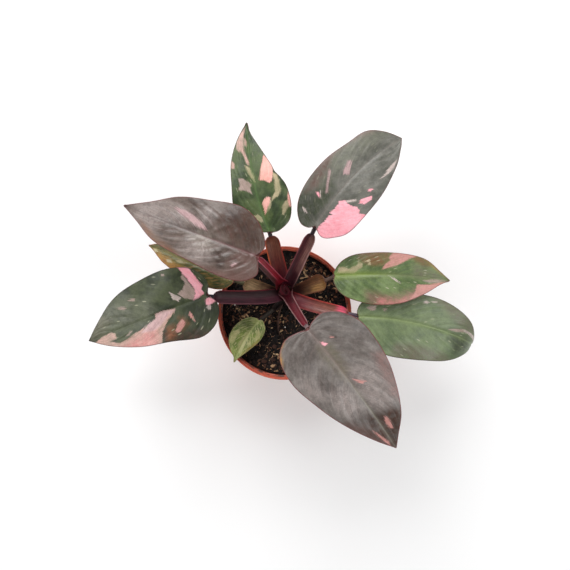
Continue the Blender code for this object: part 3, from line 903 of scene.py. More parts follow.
RIGHT_LOW = Leaf(
    side="right_low", base=(63.7, -2.1, 130.0), heading=-1, bend=-29, pitch=2, droop=-26, length=126,
    left=((-1, 6), (5, 14), (28, 23), (56, 26), (78, 24), (99, 17), (115, 6)),
    right=((0, 8), (8, 21), (26, 31), (50, 32), (80, 27), (97, 21), (113, 10)),
    azimuth=-34, node_height=13, clasp=44, rise=52, arrival=14, sheath_end=0.78, sheath_width=5.8, hook=-65,
    blade=BladeFinish(
        tone(92, 107, 75), tone(110, 125, 88), tone(134, 150, 96), margin=tone(74, 60, 48), specks=0.6,
        rib_glow=0.3, mottle=0.2,
    ),
    stalk=StalkFinish(
        tone(120, 46, 48), tone(128, 80, 68), tone(134, 56, 56), tone(74, 56, 70), left_lip=tone(190, 62, 50),
        root=tone(92, 20, 30), root_end=0.6, tip=tone(232, 90, 122),
    ),
    patches=(
        Patch(OLIVE, (
            (30, -35), (36, -20), (54, -18), (70, -18), (84, -18), (98, -22), (84, -34), (57, -38),
            (40, -38),
        )),
        Patch(OLIVE, ((53, 28), (64, 32), (92, 29), (116, 18), (118, 4), (98, 7), (80, 14), (66, 21))),
        Patch(MOSS, ((84, -2), (96, -16), (108, -12), (112, 0), (100, 4))),
        Patch(ASH, ((7, 8), (10, 10), (15, 10), (14, 6), (10, 6))),
        Patch(ASH, ((20, 8), (23, 9), (24, 8), (22, 6))),
        Patch(PEARL, ((52, 19), (55, 21), (58, 21), (56, 19))),
        Patch(PEARL, ((59, 22), (64, 23), (64, 22), (60, 21))),
        Patch(ASH, ((81, 3), (88, 6), (95, 8), (98, 8), (98, 6), (92, 4), (87, 3))),
        Patch(PEARL, ((96, 8), (103, 8), (111, 7), (121, 3), (121, 1), (112, 4), (103, 6), (97, 6))),
    ),
)

RIGHT = Leaf(
    side="right", base=(43.0, 33.2, 133.0), heading=4, bend=-13, pitch=12, droop=-26, length=101,
    left=((0, 4), (8, 13), (22, 18), (52, 19), (75, 16), (90, 7)),
    right=((-1, 6), (4, 15), (14, 21), (34, 26), (58, 24), (78, 15), (92, 5)),
    azimuth=18, node_height=4, clasp=44, rise=54, arrival=30, sheath_end=0.7, sheath_width=6.2,
    blade=BladeFinish(
        tone(80, 98, 58), tone(108, 126, 80), tone(132, 152, 74), margin=tone(104, 56, 48), specks=0.8,
        rib_glow=0.6, rib_tip=tone(108, 116, 80),
    ),
    stalk=StalkFinish(
        tone(132, 86, 52), tone(150, 112, 66), tone(112, 66, 44), tone(84, 62, 52), flank=tone(120, 78, 48),
        root=tone(62, 34, 30), root_end=0.6,
    ),
    taper=-0.7,
    patches=(
        Patch(RUST, ((22, 20), (46, 22), (47, 12), (41, 8), (32, 8), (24, 10), (21, 14))),
        Patch(RUST, ((64, 17), (72, 17), (82, 12), (80, 9), (68, 13))),
        Patch(OLIVE, ((66, 10), (78, 8), (92, 4), (96, 0), (82, -4), (68, 0))),
        Patch(MAUVE, (
            (26, -14), (36, -15), (46, -17), (57, -15), (71, -10), (76, -17), (65, -25), (50, -29),
            (28, -26),
        )),
        Patch(GOLD, ((76, 16), (84, 13), (93, 6), (98, 2), (91, 5), (83, 10))),
        Patch(ASH, ((76, -3), (85, -1), (94, 0), (100, -1), (91, -3), (82, -4))),
        Patch(PEARL, ((45, 0), (51, -3), (57, -7), (51, -4))),
        Patch(BLUSH, ((38, -20), (52, -22), (68, -16), (78, -16), (66, -26), (48, -30), (34, -28))),
        Patch(CREAM, (
            (3, 2), (4, 7), (9, 7), (13, 5), (16, 7), (20, 8), (21, 13), (22, 10), (24, 10), (24, 6),
            (20, 4), (17, 1),
        )),
        Patch(CREAM, ((25, 11), (30, 13), (31, 8), (29, 8), (29, 11))),
        Patch(ROSE, (
            (40, 4), (43, 9), (47, 12), (46, 15), (48, 18), (53, 21), (59, 20), (69, 17), (64, 15),
            (59, 12), (52, 8),
        )),
        Patch(ROSE, ((71, -7), (82, -6), (96, -2), (90, -12), (80, -19), (66, -27), (66, -20), (70, -14))),
    ),
)

LEFT_LOW = Leaf(
    side="left_low", base=(-44.3, 29.0, 125.0), heading=158, bend=-1, pitch=4, droop=-20, length=83,
    left=((1, 5), (9, 12), (28, 15), (48, 13), (64, 9), (76, 3)),
    right=((3, 6), (12, 11), (33, 13), (56, 11), (74, 5)),
    azimuth=166, node_height=3, clasp=38, rise=50, arrival=22, sheath_end=0.7, sheath_width=5.8,
    blade=BladeFinish(
        tone(60, 70, 36), tone(96, 94, 50), tone(122, 118, 62), margin=tone(150, 84, 48), marble=0.4,
        marble_tone=tone(168, 120, 70),
    ),
    stalk=StalkFinish(
        tone(160, 130, 102), tone(176, 148, 110), tone(158, 122, 88), tone(80, 76, 50),
        left_lip=tone(196, 116, 106), root=tone(92, 58, 50),
    ),
    taper=-0.5,
    patches=(
        Patch(GOLD, (
            (82, 3), (69, 10), (56, 12), (40, 15), (28, 16), (30, 10), (44, 6), (60, 4), (74, 1),
        )),
        Patch(RUST, ((70, 4), (60, 7), (46, 9), (30, 10), (28, 16), (50, 14), (66, 9))),
        Patch(CREAM, ((77, 1), (74, 0), (72, 2), (75, 4))),
        Patch(CREAM, ((54, 3), (50, 1), (46, 2), (50, 4))),
        Patch(CREAM, ((62, 5), (58, 4), (56, 6), (60, 7))),
    ),
)

SMALL = Leaf(
    side="small", base=(-22.8, -5.9, 116.0), heading=-131, bend=21, pitch=2, droop=-20, length=45,
    left=((-2, 3), (3, 10), (14, 12), (28, 8), (38, 3)),
    right=((0, 3), (5, 10), (16, 14), (26, 13), (34, 8), (40, 2)),
    azimuth=-118, node_height=7, clasp=24, rise=46, arrival=18, sheath_end=0.4, sheath_width=3.0, fold=14,
    blade=BladeFinish(
        tone(80, 102, 44), tone(128, 144, 70), tone(170, 176, 112), margin=tone(160, 156, 104), marble=0.6,
        marble_tone=tone(214, 204, 148),
    ),
    # Near-black tones: painted shade for the shadow that the left leaf's sheath casts on this stalk.
    stalk=StalkFinish(tone(36, 25, 24), tone(40, 28, 26), tone(52, 36, 32), tone(46, 38, 30), rough=0.75),
    vein_pairs=7, puff=0.22,
    patches=(
        Patch(MOSS, ((10, -13), (5, -9), (3, -4), (8, -2), (12, -5), (14, -9))),
        Patch(GOLD, ((14, 10), (20, 9), (30, 6), (36, 4), (30, 9), (20, 13))),
        Patch(LIME, ((15, -9), (20, -12), (27, -12), (30, -8), (26, -7), (21, -8), (18, -7))),
        Patch(LIME, ((11, 0), (20, -2), (28, -3), (34, 0), (33, 3), (28, 3), (20, 2))),
        Patch(LIME, ((7, 5), (8, 8), (13, 10), (18, 9), (14, 7))),
        Patch(LIME, ((18, 4), (22, 7), (27, 5), (22, 4))),
    ),
)

LEAVES = (LEFT_BACK, FRONT, RIGHT_BACK, BACK, LEFT, RIGHT_LOW, RIGHT, LEFT_LOW, SMALL)


def direction(heading: float, pitch: float) -> Vector:
    """Unit vector for a heading and a slope.

    Args:
        heading: degrees to the left of +X.
        pitch: degrees upwards.

    Returns:
        The vector.
    """
    turn = math.radians(heading)
    slope = math.radians(pitch)
    return Vector((math.cos(slope) * math.cos(turn), math.cos(slope) * math.sin(turn), math.sin(slope)))


def ease(low: float, high: float, value: float) -> float:
    """Smooth step from 0 at low to 1 at high."""
    share = min(max((value - low) / (high - low), 0.0), 1.0)
    return share * share * (3 - 2 * share)


def hill(distance: np.ndarray, width: "np.ndarray | float") -> np.ndarray:
    """Bell curve with a height of 1."""
    return np.exp(-(distance / width) ** 2)


def inside_distance(points: np.ndarray, outline: np.ndarray) -> np.ndarray:
    """Distance of flat points from a closed outline, positive inside it.

    Args:
        points: one row of two numbers for each point.
        outline: the outline's corners in order.

    Returns:
        One distance for each point.
    """
    starts = outline
    steps = np.roll(outline, -1, axis=0) - starts
    offsets = points[:, None, :] - starts[None, :, :]
    lengths = np.maximum((steps ** 2).sum(1), TINY)
    shares = np.clip((offsets * steps).sum(2) / lengths, 0, 1)
    distance = np.sqrt(((offsets - shares[..., None] * steps) ** 2).sum(2)).min(1)
    above = points[:, None, 1] >= starts[None, :, 1]
    crosses = above != (points[:, None, 1] >= (starts + steps)[None, :, 1])
    rise = np.where(np.abs(steps[:, 1]) < TINY, TINY, steps[:, 1])
    reach = starts[:, 0] + steps[:, 0] * offsets[..., 1] / rise
    inside = (crosses & (points[:, None, 0] < reach)).sum(1) % 2 == 1
    return np.where(inside, distance, -distance)


def show(name: str, mesh: bpy.types.Mesh, *materials: bpy.types.Material) -> bpy.types.Object:
    """Put a mesh in the scene with its materials.

    Args:
        name: name of the object.
        mesh: its mesh.
        materials: its materials, in the order of their slots.

    Returns:
        The new object.
    """
    for material in materials:
        mesh.materials.append(material)
    piece = bpy.data.objects.new(name, mesh)
    bpy.context.scene.collection.objects.link(piece)
    return piece


def to_mesh(bm: bmesh.types.BMesh, name: str) -> bpy.types.Mesh:
    """Close a bmesh as a smooth mesh.

    Args:
        bm: the bmesh, which is freed.
        name: name of the mesh.

    Returns:
        The mesh.
    """
    mesh = bpy.data.meshes.new(name)
    bm.to_mesh(mesh)
    bm.free()
    mesh.shade_smooth()
    return mesh


def settle(piece: bpy.types.Object, slot: str, *nodes: str) -> None:
    """Hang a piece on the frame's one body and hide the nodes it stands for.

    Args:
        piece: the finished piece.
        slot: not used.
        nodes: nodes of the frame that it replaces.
    """
    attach(piece, "root")
    if nodes:
        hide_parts(*nodes)
    LOG.info("%s: %d faces", piece.name, len(piece.data.polygons))


def evaluated(piece: bpy.types.Object) -> bpy.types.Mesh:
    """Mesh of an object with its modifiers applied. The object is removed.

    Args:
        piece: the object.

    Returns:
        The new mesh.
    """
    bpy.context.view_layer.update()
    graph = bpy.context.evaluated_depsgraph_get()
    mesh = bpy.data.meshes.new_from_object(piece.evaluated_get(graph))
    bpy.data.objects.remove(piece, do_unlink=True)
    return mesh


def grid(rows: int, columns: int) -> bmesh.types.BMesh:
    """A flat grid from -1 to 1 both ways.

    Args:
        rows: number of cells along X.
        columns: number of cells along Y.

    Returns:
        The bmesh.
    """
    bm = bmesh.new()
    bmesh.ops.create_grid(bm, x_segments=rows, y_segments=columns, size=1.0)
    return bm


def turned(profile: list[tuple[float, float]], steps: int) -> bmesh.types.BMesh:
    """Spin a closed outline of (radius, height) points round +Z, both ends on the axis.

    Args:
        profile: the points in mm.
        steps: number of steps in the full turn.

    Returns:
        The closed bmesh.
    """
    bm = bmesh.new()
    corners = [bm.verts.new((radius * MM, 0.0, height * MM)) for radius, height in profile]
    edges = [bm.edges.new(pair) for pair in zip(corners, corners[1:])]
    bmesh.ops.spin(
        bm, geom=corners + edges, cent=(0, 0, 0), axis=(0, 0, 1), dvec=(0, 0, 0), angle=math.tau, steps=steps,
        use_merge=True, use_normal_flip=False, use_duplicate=False,
    )
    bmesh.ops.remove_doubles(bm, verts=bm.verts, dist=0.01 * MM)
    bmesh.ops.recalc_face_normals(bm, faces=bm.faces)
    return bm


@dataclass
class Blade:
    """A leaf blade: two unlike halves on a folded, drooping midrib, with puffed skin between its veins."""

    leaf: Leaf
    cell: float = 0.85
    thickness: float = 0.6
    rib_depth: float = 2.2
    spine_steps: int = 60
    knot_steps: int = 8
    edge_steps: int = 240
    flat_limit: float = 8.0
    base_crowd: float = 1.4
    hook_power: int = 6
    groove_depth: float = 0.45
    groove_width: float = 1.0
    bank_height: float = 0.3
    bank_place: float = 2.4
    bank_width: float = 1.5
    knee_height: float = 0.9
    knee_place: float = 1.5
    knee_length: float = 3.0
    knee_width: float = 1.6
    crease_pitch: Pitch = (30.0, 9.0, 4.0)
    swell_height: float = 0.7
    swell_length: float = 17.0
    swell_width: float = 13.0
    pole_fade: float = 60.0
    pinch_place: float = 45.0
    pinch_reach: float = 22.0
    pinch_folds: float = 4.6
    pinch_right: float = 0.55
    vein_width: float = 0.09
    vein_depth: float = 0.16
    weld: float = 0.02
    width: float = field(init=False)
    edges: dict = field(init=False)
    spine: np.ndarray = field(init=False)

    def __post_init__(self) -> None:
        """Work out the smooth outline and the midrib's course."""
        leaf = self.leaf
        self.width = max(across for _, across in leaf.left + leaf.right)
        self.edges = {1: self._outline(leaf.left), -1: self._outline(leaf.right)}
        points = [Vector(leaf.base)]
        for index in range(self.spine_steps):
            step = self.tangent((index + 0.5) / self.spine_steps) * (leaf.length / self.spine_steps)
            points.append(points[-1] + step)
        self.spine = np.array(points)

    def tangent(self, share: float) -> Vector:
        """Direction of the midrib at a share of its length.

        Args:
            share: share of the length, from 0 to 1.

        Returns:
            The unit vector.
        """
        leaf = self.leaf
        slope = leaf.pitch + leaf.droop * share + leaf.hook * share ** self.hook_power
        return direction(leaf.heading + leaf.bend * share, slope)

    def _outline(self, points: Outline) -> np.ndarray:
        """Smooth edge from the notch through the given points to the tip, evenly divided.

        Args:
            points: points of (along the midrib, out from it) in mm.

        Returns:
            One row for each point of the edge.
        """
        knots = np.array([(0, 0), *points, (self.leaf.length, 0)], dtype=float)
        knots = np.vstack([2 * knots[0] - knots[1], knots, 2 * knots[-1] - knots[-2]])
        steps = np.linspace(0, 1, self.knot_steps + 1)[1:, None]
        edge = [knots[1:2]]
        for before, start, end, after in zip(knots, knots[1:], knots[2:], knots[3:]):
            bow = (end - before) * steps + (2 * before - 5 * start + 4 * end - after) * steps ** 2
            edge.append(start + (bow + (3 * start - before - 3 * end + after) * steps ** 3) / 2)
        edge = np.vstack(edge)
        walked = np.concatenate([[0], np.cumsum(np.linalg.norm(np.diff(edge, axis=0), axis=1))])
        even = np.linspace(0, walked[-1], self.edge_steps + 1)
        return np.stack([np.interp(even, walked, edge[:, axis]) for axis in (0, 1)], axis=1)

    def flat(self, row: np.ndarray, column: np.ndarray) -> np.ndarray:
        """Flat places (along, across) for shares from notch to tip and from edge to edge.

        Args:
            row: shares from the notch, 0, to the tip, 1.
            column: shares from the right edge, -1, to the left edge, 1.

        Returns:
            One row of two numbers in mm for each point.
        """
        shares = np.linspace(0, 1, len(self.edges[1]))
        edge = np.zeros((len(row), 2))
        for side, line in self.edges.items():
            half = np.where(column >= 0, 1, -1) == side
            for axis in (0, 1):
                edge[half, axis] = np.interp(row[half], shares, line[:, axis])
        start = self.leaf.length * row ** self.base_crowd
        reach = np.abs(column)
        along = start + (edge[:, 0] - start) * reach
        return np.stack([along, np.copysign(edge[:, 1] * reach, column)], axis=1)

    def lifted(self, flat: np.ndarray, relief: np.ndarray | float = 0.0) -> np.ndarray:
        """Points in space, in mm, of flat places raised by a relief.

        Args:
            flat: places (along, across) in mm.
            relief: height over the folded blade in mm.

        Returns:
            One row of three numbers for each point.
        """
        leaf = self.leaf
        along, across = flat[:, 0], flat[:, 1]
        share = np.clip(along / leaf.length, 0, 1)
        stations = np.linspace(0, 1, self.spine_steps + 1)
        centre = np.stack([np.interp(share, stations, self.spine[:, axis]) for axis in range(3)], axis=1)
        heading = np.radians(leaf.heading + leaf.bend * share)
        slope = np.radians(leaf.pitch + leaf.droop * share + leaf.hook * share ** self.hook_power)
        level = np.cos(slope)
        forward = np.stack([level * np.cos(heading), level * np.sin(heading), np.sin(slope)], axis=1)
        left = np.stack([-np.sin(heading), np.cos(heading), 0 * heading], axis=1)
        up = np.cross(forward, left)
        reach = np.abs(across) / self.width
        lift = np.radians(leaf.fold - leaf.curl * reach / 2)
        side = np.where(across >= 0, 1.0, -1.0)
        ripple = leaf.wave * reach ** 2 * np.sin(math.tau * leaf.wave_count * share + side)
        centre = centre + forward * (along - share * leaf.length)[:, None]
        height = np.abs(across) * np.sin(lift) + ripple + relief
        return centre + left * (across * np.cos(lift))[:, None] + up * height[:, None]

    def _relief(self, row: np.ndarray, column: np.ndarray, flat: np.ndarray, vein: np.ndarray) -> np.ndarray:
        """Height of the upper skin: midrib groove, side veins and the puffed skin between.

        Args:
            row: shares from notch to tip.
            column: shares from edge to edge.
            flat: places (along, across) in mm.
            vein: number that is the same all along a side vein.

        Returns:
            One height in mm for each point.
        """
        leaf = self.leaf
        reach = np.abs(column)
        along, across = flat[:, 0], np.abs(flat[:, 1])
        groove = self.groove_depth * hill(across, self.groove_width)
        bank = self.bank_height * hill(across - self.bank_place, self.bank_width)
        knee = self.knee_height * hill(along - self.knee_place, self.knee_length)
        knee *= hill(across, self.knee_width)
        pillow = np.abs(np.sin(np.pi * vein * leaf.vein_pairs)) ** 0.8
        pillow *= np.sin(np.pi * np.clip(reach, 0, 1)) ** 0.7
        rate, shift, spread = self.crease_pitch
        sides = np.sign(column)
        places = [Vector((v * rate + s * shift, r * spread, 0)) for v, r, s in zip(vein, reach, sides)]
        crease = np.array([noise.noise(place) for place in places])
        wrinkles = crease * leaf.crinkle + leaf.pucker * self._puckers(flat)
        places = [Vector((a / self.swell_length, b / self.swell_width, 5)) for a, b in flat]
        swell = np.array([noise.noise(place) for place in places]) * self.swell_height
        skin = knee + leaf.puff * pillow + (wrinkles + swell) * np.sin(np.pi * reach)
        poles = np.clip(self.pole_fade * row * (1 - row), 0, 1)
        return (skin + (bank - groove) * np.clip(1 - row, 0, 1)) * poles

    def _puckers(self, flat: np.ndarray) -> np.ndarray:
        """Creases that radiate from a pinched spot on the midrib, in shares of their full height.

        Args:
            flat: places (along, across) in mm.

        Returns:
            One height for each point.
        """
        offset = flat - (self.pinch_place, 0.0)
        radius = np.hypot(offset[:, 0], offset[:, 1]) / self.pinch_reach
        turn = np.arctan2(offset[:, 1], offset[:, 0])
        count = self.pinch_folds
        places = [Vector((math.cos(t) * count, math.sin(t) * count, r)) for t, r in zip(turn, radius)]
        folds = np.array([noise.noise(place) for place in places])
        weight = np.where(flat[:, 1] < 0, self.pinch_right, 1.0)
        return folds * weight * 2 * radius * hill(radius, 1.0)

    def _thickness(
        self, row: np.ndarray, flat: np.ndarray, line: np.ndarray, reach: np.ndarray,
    ) -> np.ndarray:
        """Share of the full rib depth that the blade has at each point.

        Args:
            row: shares from notch to tip.
            flat: places (along, across) in mm.
            line: 1 on a side vein and 0 between them.
            reach: shares from the midrib to the edge.

        Returns:
            One share for each point.
        """
        taper = np.clip(1 - row, 0, 1) ** 0.7
        rib = taper * hill(flat[:, 1], 1.0 + 0.7 * taper)
        veins = self.vein_depth * line * np.clip(1 - reach, 0, 1) * taper
        return np.clip(rib + veins, 0, 1)

    def build(self) -> bpy.types.Object:
        """Make the blade's mesh with the attributes that its skin reads, and dress it.

        Returns:
            The piece.
        """
        leaf = self.leaf
        rows = round(leaf.length / self.cell)
        columns = 2 * round(self.width / self.cell)
        bm = grid(rows, columns)
        marks = np.array([vertex.co[:2] for vertex in bm.verts])
        row = (marks[:, 0] + 1) / 2
        column = marks[:, 1]
        flat = self.flat(row, column)
        reach = np.abs(column)
        vein = row - leaf.sweep * reach ** 1.4
        line = hill(np.abs(((vein * leaf.vein_pairs) % 1.0) - 0.5) - 0.5, self.vein_width)
        outline = np.vstack([self.edges[1], self.edges[-1][::-1] * (1, -1)])
        fields = {
            "row": row, "reach": reach, "side": np.sign(column), "across": flat[:, 1], "vein": vein,
            "vein_line": line * (1 - reach ** 3), "margin": inside_distance(flat, outline),
        }
        tissues = [tissue for tissue in Tissue if any(patch.tissue is tissue for patch in leaf.patches)]
        for tissue in tissues:
            shapes = [np.array(patch.outline, float) for patch in leaf.patches if patch.tissue is tissue]
            depth = np.max([inside_distance(flat, shape) for shape in shapes], axis=0)
            fields[tissue.label] = np.clip(depth, -self.flat_limit, self.flat_limit)
        relief = self._relief(row, column, flat, vein)
        places = self.lifted(flat, relief + self.thickness / 2) * MM
        fields["depth"] = self._thickness(row, flat, line, reach)
        layers = {key: bm.verts.layers.float.new(key) for key in fields}
        for index, vertex in enumerate(bm.verts):
            vertex.co = places[index]
            for key, layer in layers.items():
                vertex[layer] = fields[key][index]
        poles = [vertex for vertex, share in zip(bm.verts, row) if share < TINY or share > 1 - TINY]
        bmesh.ops.remove_doubles(bm, verts=poles, dist=self.weld * MM)
        name = f"leaf_blade_{leaf.side}"
        mesh = to_mesh(bm, name)
        depths = [mesh.attributes["depth"].data[index].value for index in range(len(mesh.vertices))]
        skins = (leaf.blade.top(f"{name}_top", tissues), leaf.blade.underside(f"{name}_under", tissues))
        piece = show(name, mesh, *skins)
        group = piece.vertex_groups.new(name="depth")
        for index, depth in enumerate(depths):
            group.add([index], depth, "REPLACE")
        solid = piece.modifiers.new("Thickness", "SOLIDIFY")
        solid.thickness = self.rib_depth * MM
        solid.offset = -1.0
        solid.vertex_group = group.name
        solid.thickness_vertex_group = self.thickness / self.rib_depth
        solid.material_offset = 1
        settle(piece, f"blade_{leaf.side}", f"blade_{leaf.side}")
        return piece


@dataclass(frozen=True)
class StemLine:
    """The leaning stem's axis and size, which the stalks also follow."""

    x: float = 0.0
    y: float = 15.5
    lean: float = 11.0
    radius: float = 5.5
    soil_top: float = 95.0

    def centre(self, height: float) -> Vector:
        """Centre of the stem at a height."""
        return Vector((self.x, self.y + math.tan(math.radians(self.lean)) * (height - self.soil_top), height))

    def placed(self) -> Matrix:
        """Transform, in metres, of an upright piece on to the axis."""
        turn = Matrix.Rotation(math.radians(-self.lean), 4, "X")
        return Matrix.Translation(self.centre(self.soil_top) * MM) @ turn


STEM_LINE = StemLine()


@dataclass
class Stalk:
    """A leaf stalk, from the open sheath that clasps the stem to the neck that joins the midrib."""

    leaf: Leaf
    form: Blade
    radius: float = 1.8
    depth: float = 4.4
    wall: float = 1.2
    lip: float = 0.5
    shoulder: float = 0.12
    cad_blade: float = 0.7
    stations: int = 110
    turns: int = 44
    joint_along: float = 3.0
    under_blade: float = 12.0
    main_share: float = 0.94
    tail_slim: float = 0.75
    tail_sink: float = 0.9
    rising_share: float = 0.33
    arrival_share: float = 0.2
    end_lift: float = 1.6
    grip_end: float = 0.2
    lip_rise: float = 0.3
    neck_blend: float = 0.02
    blush_length: float = 0.3
    weld: float = 0.005

    def _path(self) -> tuple[Vector, Vector, Vector, Vector]:
        """Control points of the centre line, from the stem to just under the blade's base.

        Returns:
            The four points, in mm.
        """
        leaf = self.leaf
        forward = self.form.tangent(0)
        left = Vector((-forward.y, forward.x, 0)).normalized()
        joint = Vector(self.form.lifted(np.array([[self.joint_along, 0.0]]))[0])
        end = joint - forward.cross(left) * (self.cad_blade / 2 + GAP + self.radius)
        clear = (STEM_LINE.radius + GAP) * math.cos(math.radians(leaf.clasp))
        start = STEM_LINE.centre(STEM_LINE.soil_top + leaf.node_height) + direction(leaf.azimuth, 0) * clear
        span = (end - start).length
        rising = start + direction(leaf.azimuth, leaf.rise) * span * self.rising_share
        bearing = math.degrees(math.atan2(end.y - rising.y, end.x - rising.x))
        return start, rising, end - direction(bearing, leaf.arrival) * span * self.arrival_share, end

    def _opened(self, share: float) -> float:
        """How far the sheath stands open: 1 along it, and a round end down to 0 where the neck begins."""
        walked = (share - self.leaf.sheath_end + self.shoulder) / self.shoulder
        return (1 - min(max(walked, 0.0), 1.0) ** 2.2) ** 0.7

    def _section(self, share: float, turn: float) -> tuple[float, float]:
        """Point of the cross-section at a share of the length and of the way round (0 to 1).

        Args:
            share: share of the length.
            turn: share of the way round: the back first, then the hollow side.

        Returns:
            The point in mm, sideways and upwards.
        """
        leaf = self.leaf
        held = STEM_LINE.radius + GAP
        opened = self._opened(share)
        grip = 1 - ease(0.0, self.grip_end, share)
        reach = held * math.sin(math.radians(leaf.clasp)) + self.wall
        hollow = held * (1 - math.cos(math.radians(leaf.clasp))) / math.sin(math.radians(leaf.rise))
        wide = leaf.sheath_width * (1 + leaf.taper * (0.5 - share / leaf.sheath_end))
        wide += (reach - wide) * grip
        deep = self.depth + (hollow + self.wall - self.depth) * grip
        half_width = self.radius + (wide - self.radius) * opened
        depth = self.radius + (deep - self.radius) * opened
        crown = self.radius + (self.wall - deep - self.radius) * opened
        lip = self.lip * opened
        angle = math.tau * turn
        if turn <= 0.5 or turn == 1:
            return half_width * math.cos(angle), -depth * math.sin(angle)
        return (half_width - lip) * math.cos(angle), -crown * math.sin(angle) + lip * self.lip_rise

    def _frame_at(self, path: tuple, share: float) -> tuple[Vector, Vector, Vector]:
        """Centre, sideways and upward directions at a share of the centre line.

        Args:
            path: the four control points.
            share: share of the length.

        Returns:
            The three vectors.
        """
        a, b, c, d = path
        rest = 1 - share
        centre = a * rest ** 3 + b * 3 * rest * rest * share + c * 3 * rest * share * share + d * share ** 3
        forward = ((b - a) * rest * rest + (c - b) * 2 * rest * share + (d - c) * share * share).normalized()
        side = forward.cross(Vector((0, 0, 1))).normalized()
        up = side.cross(forward)
        return centre + up * GAP * self.end_lift * ease(0.8, 1.0, share), side, up

    def build(self) -> bpy.types.Object:
        """Make the stalk's mesh from a grid that wraps round the centre line, and dress it.

        Returns:
            The piece.
        """
        leaf = self.leaf
        end = leaf.sheath_end
        path = self._path()
        bm = grid(self.stations, self.turns)
        names = ("share", "turn", "inner", "beam", "opened", "neck", "shoulder")
        layers = {key: bm.verts.layers.float.new(key) for key in names}
        for vertex in bm.verts:
            along = (vertex.co.x + 1) / 2
            turn = min(max((vertex.co.y + 1) / 2, 0.0), 1.0)
            share = min(along / self.main_share, 1.0)
            tail = max(along / self.main_share - 1, 0.0) / (1 / self.main_share - 1)
            centre, side, up = self._frame_at(path, share)
            x, y = self._section(share, turn)
            if tail > 0:
                centre, side, up = self._under_blade(tail, side, up)
            slim = 1 - self.tail_slim * tail
            opened = self._opened(share)
            vertex.co = (centre + side * x * slim + up * y * slim) * MM
            vertex[layers["share"]] = share
            vertex[layers["turn"]] = turn
            vertex[layers["inner"]] = opened if turn > 0.5 else 0.0
            vertex[layers["beam"]] = math.cos(math.tau * turn)
            vertex[layers["opened"]] = opened
            vertex[layers["neck"]] = ease(end - self.neck_blend, end + self.neck_blend, share)
            vertex[layers["shoulder"]] = opened * ease(end - self.blush_length, end, share)
        bmesh.ops.remove_doubles(bm, verts=bm.verts, dist=self.weld * MM)
        rims = [edge for edge in bm.edges if edge.is_boundary]
        bmesh.ops.holes_fill(bm, edges=rims, sides=0)
        bmesh.ops.recalc_face_normals(bm, faces=bm.faces)
        name = f"leaf_stalk_{leaf.side}"
        piece = show(name, to_mesh(bm, name), leaf.stalk.material(name))
        settle(piece, f"petiole_{leaf.side}", f"petiole_{leaf.side}")
        return piece

    def _under_blade(self, tail: float, side: Vector, up: Vector) -> tuple[Vector, Vector, Vector]:
        """Run the stalk's end on along the blade's underside, where it becomes the midrib.

        Args:
            tail: share of this last stretch.
            side: sideways direction where it starts.
            up: upward direction where it starts.

        Returns:
            Centre, sideways and upward directions.
        """
        along = self.joint_along + (self.under_blade - self.joint_along) * tail
        forward = self.form.tangent(along / self.leaf.length)
        left = Vector((-forward.y, forward.x, 0)).normalized()
        lift = forward.cross(left)
        joint = Vector(self.form.lifted(np.array([[along, 0.0]]))[0])
        under = joint - lift * (self.cad_blade / 2 + self.radius - GAP - self.tail_sink * tail)
        turn = ease(0, 1, tail)
        return under, side.lerp(-left, turn).normalized(), up.lerp(lift, turn).normalized()


